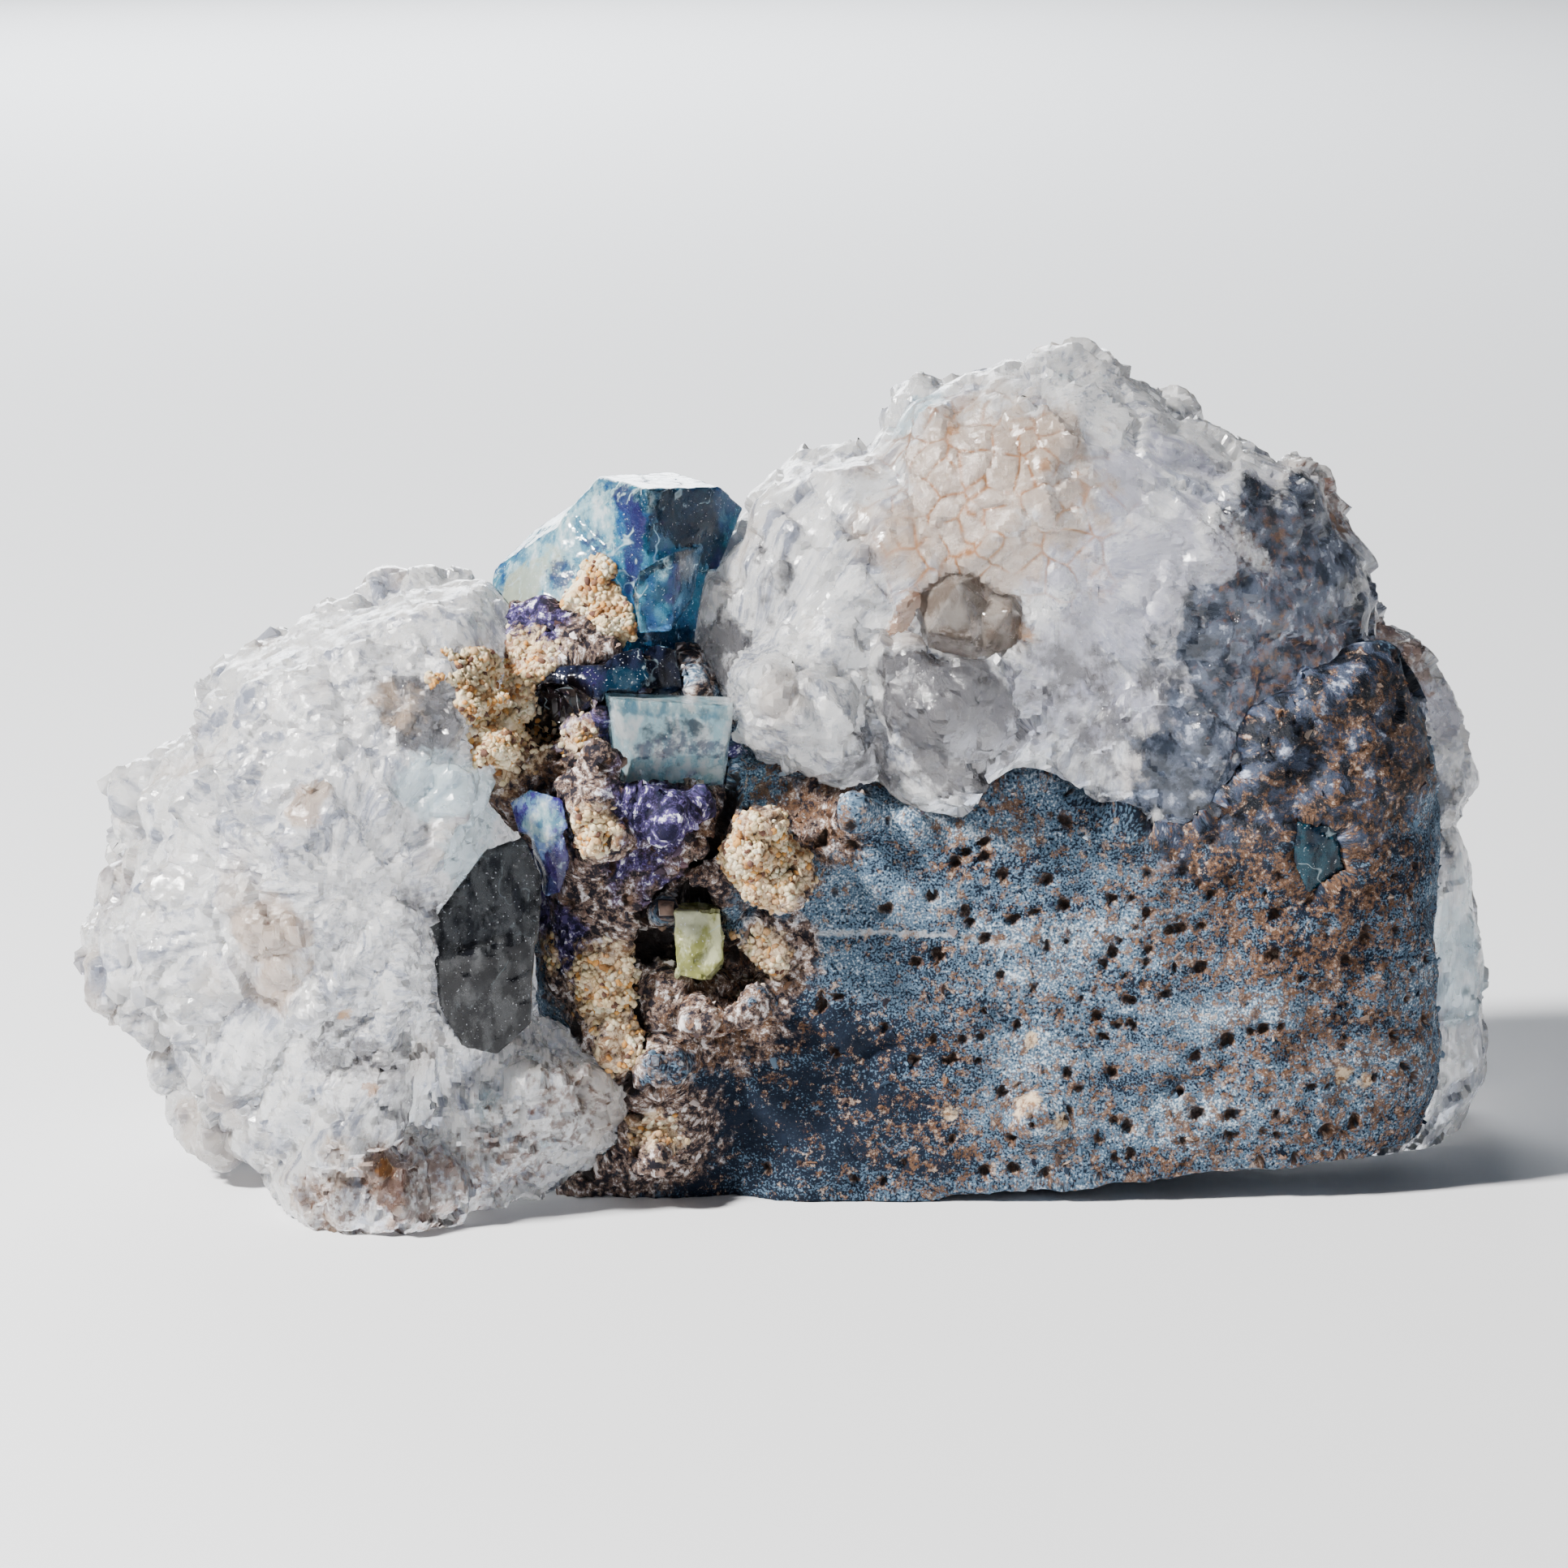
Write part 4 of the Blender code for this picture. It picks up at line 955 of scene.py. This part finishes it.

# %% [markdown]
# The rock is a felt of tiny pale and dark grains, drawn out sideways, with darker bands and brown
# specks. Its pits have a rusty rim, and their insides are painted near-black as shade; its crack
# and holes are painted near-black as shade too. Its left part is a crust of grey, white and brown
# grains, with violet fluorite and cream limonite in it, and the violet has painted white glints.


# %% Finish: rock
def rock_finish():
    material, tree, shader, seat = new_finish("granular rock")
    drawn = vector(tree, "MULTIPLY", warped(tree, seat, 2 * MM, 0.6 * MM), (0.5, 0.8, 1.0))
    grains = noise(tree, drawn, 0.34 * MM, detail=5.0, roughness=0.82)
    band = noise(tree, vector(tree, "MULTIPLY", seat, (0.3, 0.5, 1.0)), 1.7 * MM, detail=6.0, roughness=0.62)
    sugar = noise(tree, seat, 0.11 * MM, detail=1.0)
    light = plus(tree, times(tree, grains, 0.5), times(tree, plus(tree, band, 0.12), 0.64))
    light = plus(tree, light, times(tree, minus(tree, sugar, 0.5), 0.8))
    light = minus(tree, light, times(tree, mark_of(tree, "dusk"), 0.26))
    colour = mix(tree, ramp(tree, light, 0.50, 0.66), (0.003, 0.008, 0.020), (0.09, 0.15, 0.22))
    colour = mix(tree, ramp(tree, light, 0.69, 0.90), colour, (0.56, 0.64, 0.72))
    colour = stained(tree, colour, "chalk", (0.60, 0.62, 0.64), 0.3 * MM, 0.5)
    speck = noise(tree, seat, 0.6 * MM, detail=6.0, roughness=0.78)
    hue = noise(tree, seat, 0.3 * MM, detail=4.0, roughness=0.75)
    brown = mix(tree, ramp(tree, hue, 0.42, 0.54), (0.016, 0.011, 0.010), (0.14, 0.070, 0.036))
    brown = mix(tree, ramp(tree, hue, 0.57, 0.66), brown, (0.42, 0.33, 0.27))
    speckled = ramp(tree, plus(tree, speck, times(tree, mark_of(tree, "rust"), 0.16)), 0.57, 0.64)
    coarse = noise(tree, seat, 0.45 * MM, detail=5.0, roughness=0.75)
    ash = mix(tree, ramp(tree, coarse, 0.44, 0.52), (0.014, 0.012, 0.018), (0.18, 0.12, 0.095))
    ash = mix(tree, ramp(tree, coarse, 0.53, 0.62), ash, (0.74, 0.69, 0.68))
    colour = stained(tree, colour, "crust", ash, 1.0 * MM)
    mottle = group_of(tree, MOTTLE, {"Seat": seat})["Colour"]
    colour = stained(tree, colour, "mottle", mottle, 1.2 * MM)
    colour = mix(tree, times(tree, speckled, 0.9), colour, brown)
    # Violet fluorite grains: dark violet, with white spots that are painted glints.
    violet_with_painted_glints = mix(tree, ramp(tree, coarse, 0.44, 0.60), (0.008, 0.007, 0.03), (0.085, 0.065, 0.22))
    violet_with_painted_glints = mix(tree, ramp(tree, coarse, 0.56, 0.64), violet_with_painted_glints, (0.80, 0.80, 0.90))
    colour = stained(tree, colour, "violet", violet_with_painted_glints, 0.9 * MM, 0.95)
    cream = mix(tree, ramp(tree, hue, 0.40, 0.56), (0.26, 0.14, 0.07), (0.72, 0.56, 0.38))
    colour = stained(tree, colour, "warm", cream, 0.5 * MM, 0.9)
    # Painted shade: the crack and holes are coloured near-black.
    colour = stained(tree, colour, "dark", (0.012, 0.008, 0.008), 0.4 * MM, 0.95)
    grainy = minus(tree, 1.0, mark_of(tree, "mottle"))
    rim = times(tree, pit_mask(tree, seat, mark_of(tree, "rust"), 0.07), grainy)
    pit = times(tree, pit_mask(tree, seat, mark_of(tree, "rust"), -0.02), grainy)
    # Each pit gets a brown rusty rim, and its inside is painted near-black as shade.
    colour = mix(tree, times(tree, rim, 0.7), colour, brown)
    colour = mix(tree, times(tree, pit, 0.8), colour, (0.018, 0.011, 0.009))
    tree.links.new(colour, shader.inputs["Base Color"])
    matt = plus(tree, times(tree, grainy, 0.6), ramp(tree, grains, 0.45, 0.7, 0.35, 0.15))
    tree.links.new(matt, shader.inputs["Roughness"])
    shader.inputs["Specular IOR Level"].default_value = 0.25
    shader.inputs["Subsurface Weight"].default_value = 0.06
    shader.inputs["Subsurface Scale"].default_value = 0.4 * MM
    bump(tree, shader, plus(tree, coarse, times(tree, grains, 0.8)), 0.16 * MM)
    return material


ROCK = rock_finish()
dress(rock, ROCK)
rock_grains = scatter(
    "rock_grains", rock, ROCK, off_floor(rock, 2) * (0.35 + mark_values(rock, "crust")),
    shapes=GRAINS, density=1.2e6, wobble=0.8, sunk=0.05 * MM, least_size=(0.12, 0.12, 0.1),
    most_size=(0.36, 0.36, 0.3), seed=6,
)

# %% [markdown]
# Limonite is an earthy crust of small round lumps, cream, with orange and brown between them.


# %% Limonite
def limonite_finish():
    material, tree, shader, seat = new_finish("limonite")
    patch = noise(tree, seat, 0.9 * MM, detail=5.0, roughness=0.6)
    colour = mix(tree, ramp(tree, patch, 0.36, 0.48), (0.32, 0.14, 0.04), (0.74, 0.55, 0.32))
    colour = mix(tree, ramp(tree, patch, 0.48, 0.62), colour, (0.88, 0.76, 0.56))
    colour = mix(tree, ramp(tree, mark_of(tree, "tint"), 0.8, 0.84), colour, (0.62, 0.30, 0.08))
    colour = mix(tree, ramp(tree, mark_of(tree, "tint"), 0.93, 0.95), colour, (0.13, 0.06, 0.04))
    tree.links.new(colour, shader.inputs["Base Color"])
    shader.inputs["Roughness"].default_value = 0.85
    shader.inputs["Subsurface Weight"].default_value = 0.15
    shader.inputs["Subsurface Scale"].default_value = 0.4 * MM
    place = add(tree, "ShaderNodeTexCoord").outputs["Object"]
    bump(tree, shader, noise(tree, place, 0.2 * MM, detail=4.0, roughness=0.7), 0.15 * MM)
    return material


LIMONITE = limonite_finish()
LUMP_SIZES = {"least_size": (0.08, 0.08, 0.08), "most_size": (0.26, 0.26, 0.24)}


def crust(name, node):
    base = skin(node, name + "_base", 0.2 * MM)
    lumps = scatter(
        name, base, LIMONITE, np.ones(len(base.data.vertices)), shapes=LUMPS, density=26e6,
        wobble=0.6, seed=8, **LUMP_SIZES,
    )
    dress(base, LIMONITE)
    return base, lumps


crusts = {node: crust(name, node) for node, name in
          (("limonite_left", "left_crust"), ("limonite_top", "top_crust"))}
rock_crust = scatter(
    "rock_crust", rock, LIMONITE,
    off_floor(rock, 2) * mark_values(rock, "crust") * np.clip(mark_values(rock, "warm") - 0.35, 0, 1),
    shapes=LUMPS, density=40e6, wobble=0.6, seed=9, **LUMP_SIZES,
)

# %% [markdown]
# Fluorite and quartz crystals are clear, so these are see-through: mostly transmission, with each
# mineral's own IOR. The colour lies in zones, which are painted: deep blue, pale, violet and
# cream. Pale cracks wind through them, and dust lies on them. On the crown's top face the pale is
# a painted highlight, and on the block's top edge the pale band carries one. Where the dark mark
# lies, it is painted near-black as shade, and where it is strong a hole is sunk too. Each crystal's
# skin is cut finely enough to keep its edges, and then its faces are chipped a little.


# %% Clear crystals
def wear_tree():
    tree, given, out = shape_tree("Worn faces", {"Depth": ("Float", 0.05 * MM)})
    seat = named(tree, "seat", "FLOAT_VECTOR")
    flakes = tilted_cells(tree, warped(tree, seat, 1.0 * MM, 0.6 * MM), 1.5 * MM, 1.2, 0.0)
    flakes = over(tree, flakes, MM)
    dents = times(tree, minus(tree, noise(tree, seat, 0.7 * MM, detail=4.0), 0.5), 1.5)
    gap = times(tree, ramp(tree, named(tree, "dark"), 0.4, 1.0), -1.6 * MM)
    return push(tree, given, out, plus(tree, times(tree, plus(tree, flakes, dents), given["Depth"]), gap))


WEAR = wear_tree()


def crystal_finish(name, shade, body, clear, ior=1.434, rough=0.06, cracked=0.5):
    material, tree, shader, seat = new_finish(name)
    layered = vector(tree, "MULTIPLY", seat, (1.6, 0.5, 0.8))
    zone = noise(tree, layered, 1.2 * MM, detail=6.0, roughness=0.65)
    colour = mix(tree, ramp(tree, zone, 0.42, 0.58), shade, body)
    pale = mix(tree, ramp(tree, zone, 0.42, 0.54), (0.10, 0.27, 0.38), (0.38, 0.60, 0.66))
    pale = mix(tree, ramp(tree, zone, 0.54, 0.64), pale, (0.85, 0.93, 0.93))
    colour = stained(tree, colour, "pale", pale, 0.8 * MM, 0.95)
    colour = stained(tree, colour, "cream", (0.50, 0.52, 0.36), 0.8 * MM, 0.8)
    colour = stained(tree, colour, "deep", (0.005, 0.026, 0.055), 1.2 * MM, 0.95)
    colour = stained(tree, colour, "violet", (0.028, 0.016, 0.095), 0.5 * MM, 0.8)
    # Painted shade: where the dark mark lies, the crystal is coloured near-black, as in a hole.
    colour = stained(tree, colour, "dark", (0.012, 0.008, 0.008), 0.5 * MM, 0.95)
    cracks = vein(tree, warped(tree, seat, 1.0 * MM, 0.5 * MM), 4.0 * MM, 0.010)
    cracks = times(tree, cracks, ramp(tree, zone, 0.45, 0.55, 0.0, cracked))
    colour = mix(tree, cracks, colour, (0.62, 0.80, 0.86))
    dust = ramp(tree, noise(tree, seat, 0.12 * MM, detail=1.0), 0.70, 0.74)
    colour = mix(tree, times(tree, dust, 0.8), colour, (0.82, 0.85, 0.9))
    tree.links.new(colour, shader.inputs["Base Color"])
    frost = ramp(tree, noise(tree, seat, 0.8 * MM, detail=5.0), 0.5, 0.7, rough, rough + 0.25)
    tree.links.new(frost, shader.inputs["Roughness"])
    shader.inputs["IOR"].default_value = ior
    shader.inputs["Specular IOR Level"].default_value = 0.25
    shader.inputs["Transmission Weight"].default_value = clear
    bump(tree, shader, noise(tree, seat, 0.5 * MM, detail=4.0), 0.06 * MM, 0.6)
    return material


def crystal(node, name, grain_size, finish, marks, depth=0.05 * MM):
    piece = skin(node, name, grain_size)
    paint(piece, tree_of(piece), marks)
    run(piece, WEAR, {"Depth": depth})
    crisp(piece, 25)
    dress(piece, finish)
    return piece


crown = crystal(
    "fluorite_crown", "crown_crystal", 0.13 * MM,
    crystal_finish("crown fluorite", (0.02, 0.075, 0.22), (0.07, 0.27, 0.38), 0.6, cracked=0.9),
    {
        "deep": [(845, 650, 2.6, 1.0), (860, 730, 3, 1.0), (840, 800, 3, 1.0), (800, 720, 1.6, 0.6),
                 (810, 630, 1.6, 0.7)],
        # pale: the pale zones on the left; the three spots along the top face are a painted highlight
        "pale": [(700, 645, 2.6, 1.0), (650, 710, 2.4, 0.9), (690, 740, 2.0, 0.8), (745, 600, 2, 0.6),
                 (830, 586, 1.0, 1.0), (870, 592, 0.9, 1.0), (790, 586, 1.0, 1.0), (815, 700, 1.0, 0.7)],
        "violet": [*along([(765, 605), (782, 640), (780, 720)], 0.55, 0.85), (690, 705, 0.8, 0.7),
                   *along([(885, 690), (870, 740)], 0.5, 0.7), (735, 670, 0.8, 0.5), (820, 660, 1, 0.4)],
        "cream": [(640, 730, 1.6, 0.9), (625, 760, 1.6, 0.8), (680, 690, 0.8, 0.6)],
    },
)
block = crystal(
    "fluorite_block", "block_crystal", 0.12 * MM,
    crystal_finish("block fluorite", (0.46, 0.74, 0.84), (0.90, 0.97, 0.99), 0.7, rough=0.02),
    {
        "violet": along([(795, 925), (840, 916), (880, 925)], 0.6, 0.6),
        "deep": along([(800, 902), (835, 897), (865, 902)], 0.6, 0.5),
        # pale: the block's pale upper band, with a painted highlight along its lit top edge
        "pale": along([(755, 866), (900, 872)], 0.6, 0.9),
    },
    0.03 * MM,
)
dark = crystal(
    "fluorite_dark", "dark_crystals", 0.15 * MM,
    crystal_finish("dark fluorite", (0.004, 0.005, 0.012), (0.020, 0.026, 0.06), 0.5, rough=0.12),
    # The dark mark sinks a hole into these crystals and paints it near-black as shade.
    {"violet": [(725, 835, 0.8, 0.5)], "pale": [(770, 835, 0.6, 0.7)],
     "deep": [(780, 850, 1.5, 0.8)], "dark": [(675, 875, 1.6, 1.0), (700, 865, 1.2, 1.0)]},
)
violet = crystal(
    "fluorite_violet", "violet_crystals", 0.14 * MM,
    crystal_finish("violet fluorite", (0.05, 0.03, 0.22), (0.20, 0.32, 0.62), 0.55),
    {"pale": [(665, 1010, 1.2, 0.7), (655, 985, 0.8, 0.6)], "violet": [(690, 1080, 1.4, 0.8)],
     "cream": [(700, 1130, 0.9, 0.5)]},
)
pocket = crystal(
    "smoky_pocket", "smoky_pocket_crystal", 0.16 * MM,
    crystal_finish("smoky fluorite", (0.012, 0.013, 0.017), (0.11, 0.115, 0.12), 0.5, cracked=0.1),
    # The dark mark paints patchy shade into the depth of the pocket.
    {"dark": [(640, 1200, 1.6, 0.24)]}, 0.05 * MM,
)
smoky = crystal(
    "smoky_quartz", "smoky_quartz_crystal", 0.14 * MM,
    crystal_finish("smoky quartz", (0.42, 0.33, 0.27), (0.80, 0.71, 0.63), 0.85, 1.544, 0.02, 0.1),
    {}, 0.02 * MM,
)
yellow = crystal(
    "yellow_crystal", "yellow_fluorite_crystal", 0.1 * MM,
    crystal_finish("yellow fluorite", (0.26, 0.27, 0.08), (0.66, 0.68, 0.40), 0.3, 1.434, 0.35),
    # The dark mark sinks a small hole and paints it dark as shade.
    {"cream": [(850, 1135, 0.8, 0.9)], "dark": [(892, 1180, 0.5, 0.6)]}, 0.2 * MM,
)
window = crystal(
    "fluorite_window", "teal_window", 0.12 * MM,
    crystal_finish("teal fluorite", (0.003, 0.012, 0.028), (0.016, 0.080, 0.12), 0.5, cracked=0.7),
    {"deep": [(1640, 1040, 1.2, 0.5)]}, 0.14 * MM,
)

# %% Bodies, nodes and slots
PIECES = [
    (left, "quartz_left", "milky_quartz"), (dome, "quartz_dome", "milky_quartz"),
    (rock, "rock", "rock"), (left_tips, None, "milky_quartz"), (rock_grains, None, "rock"),
    (rock_crust, None, "limonite"), (crown, "fluorite_crown", "fluorite_crown"),
    (block, "fluorite_block", "fluorite_block"), (dark, "fluorite_dark", "fluorite_dark"),
    (violet, "fluorite_violet", "fluorite_violet"), (pocket, "smoky_pocket", "smoky_fluorite"),
    (smoky, "smoky_quartz", "smoky_quartz"), (yellow, "yellow_crystal", "yellow_crystal"),
    (window, "fluorite_window", "fluorite_window"),
]
for node, (base, lumps) in crusts.items():
    PIECES += [(base, node, "limonite"), (lumps, None, "limonite")]
for piece, node, slot in PIECES:
    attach(piece, "root")
    if node:
        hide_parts(node)
print(len(PIECES), "pieces,", sum(len(piece.data.polygons) for piece, _, _ in PIECES), "faces")
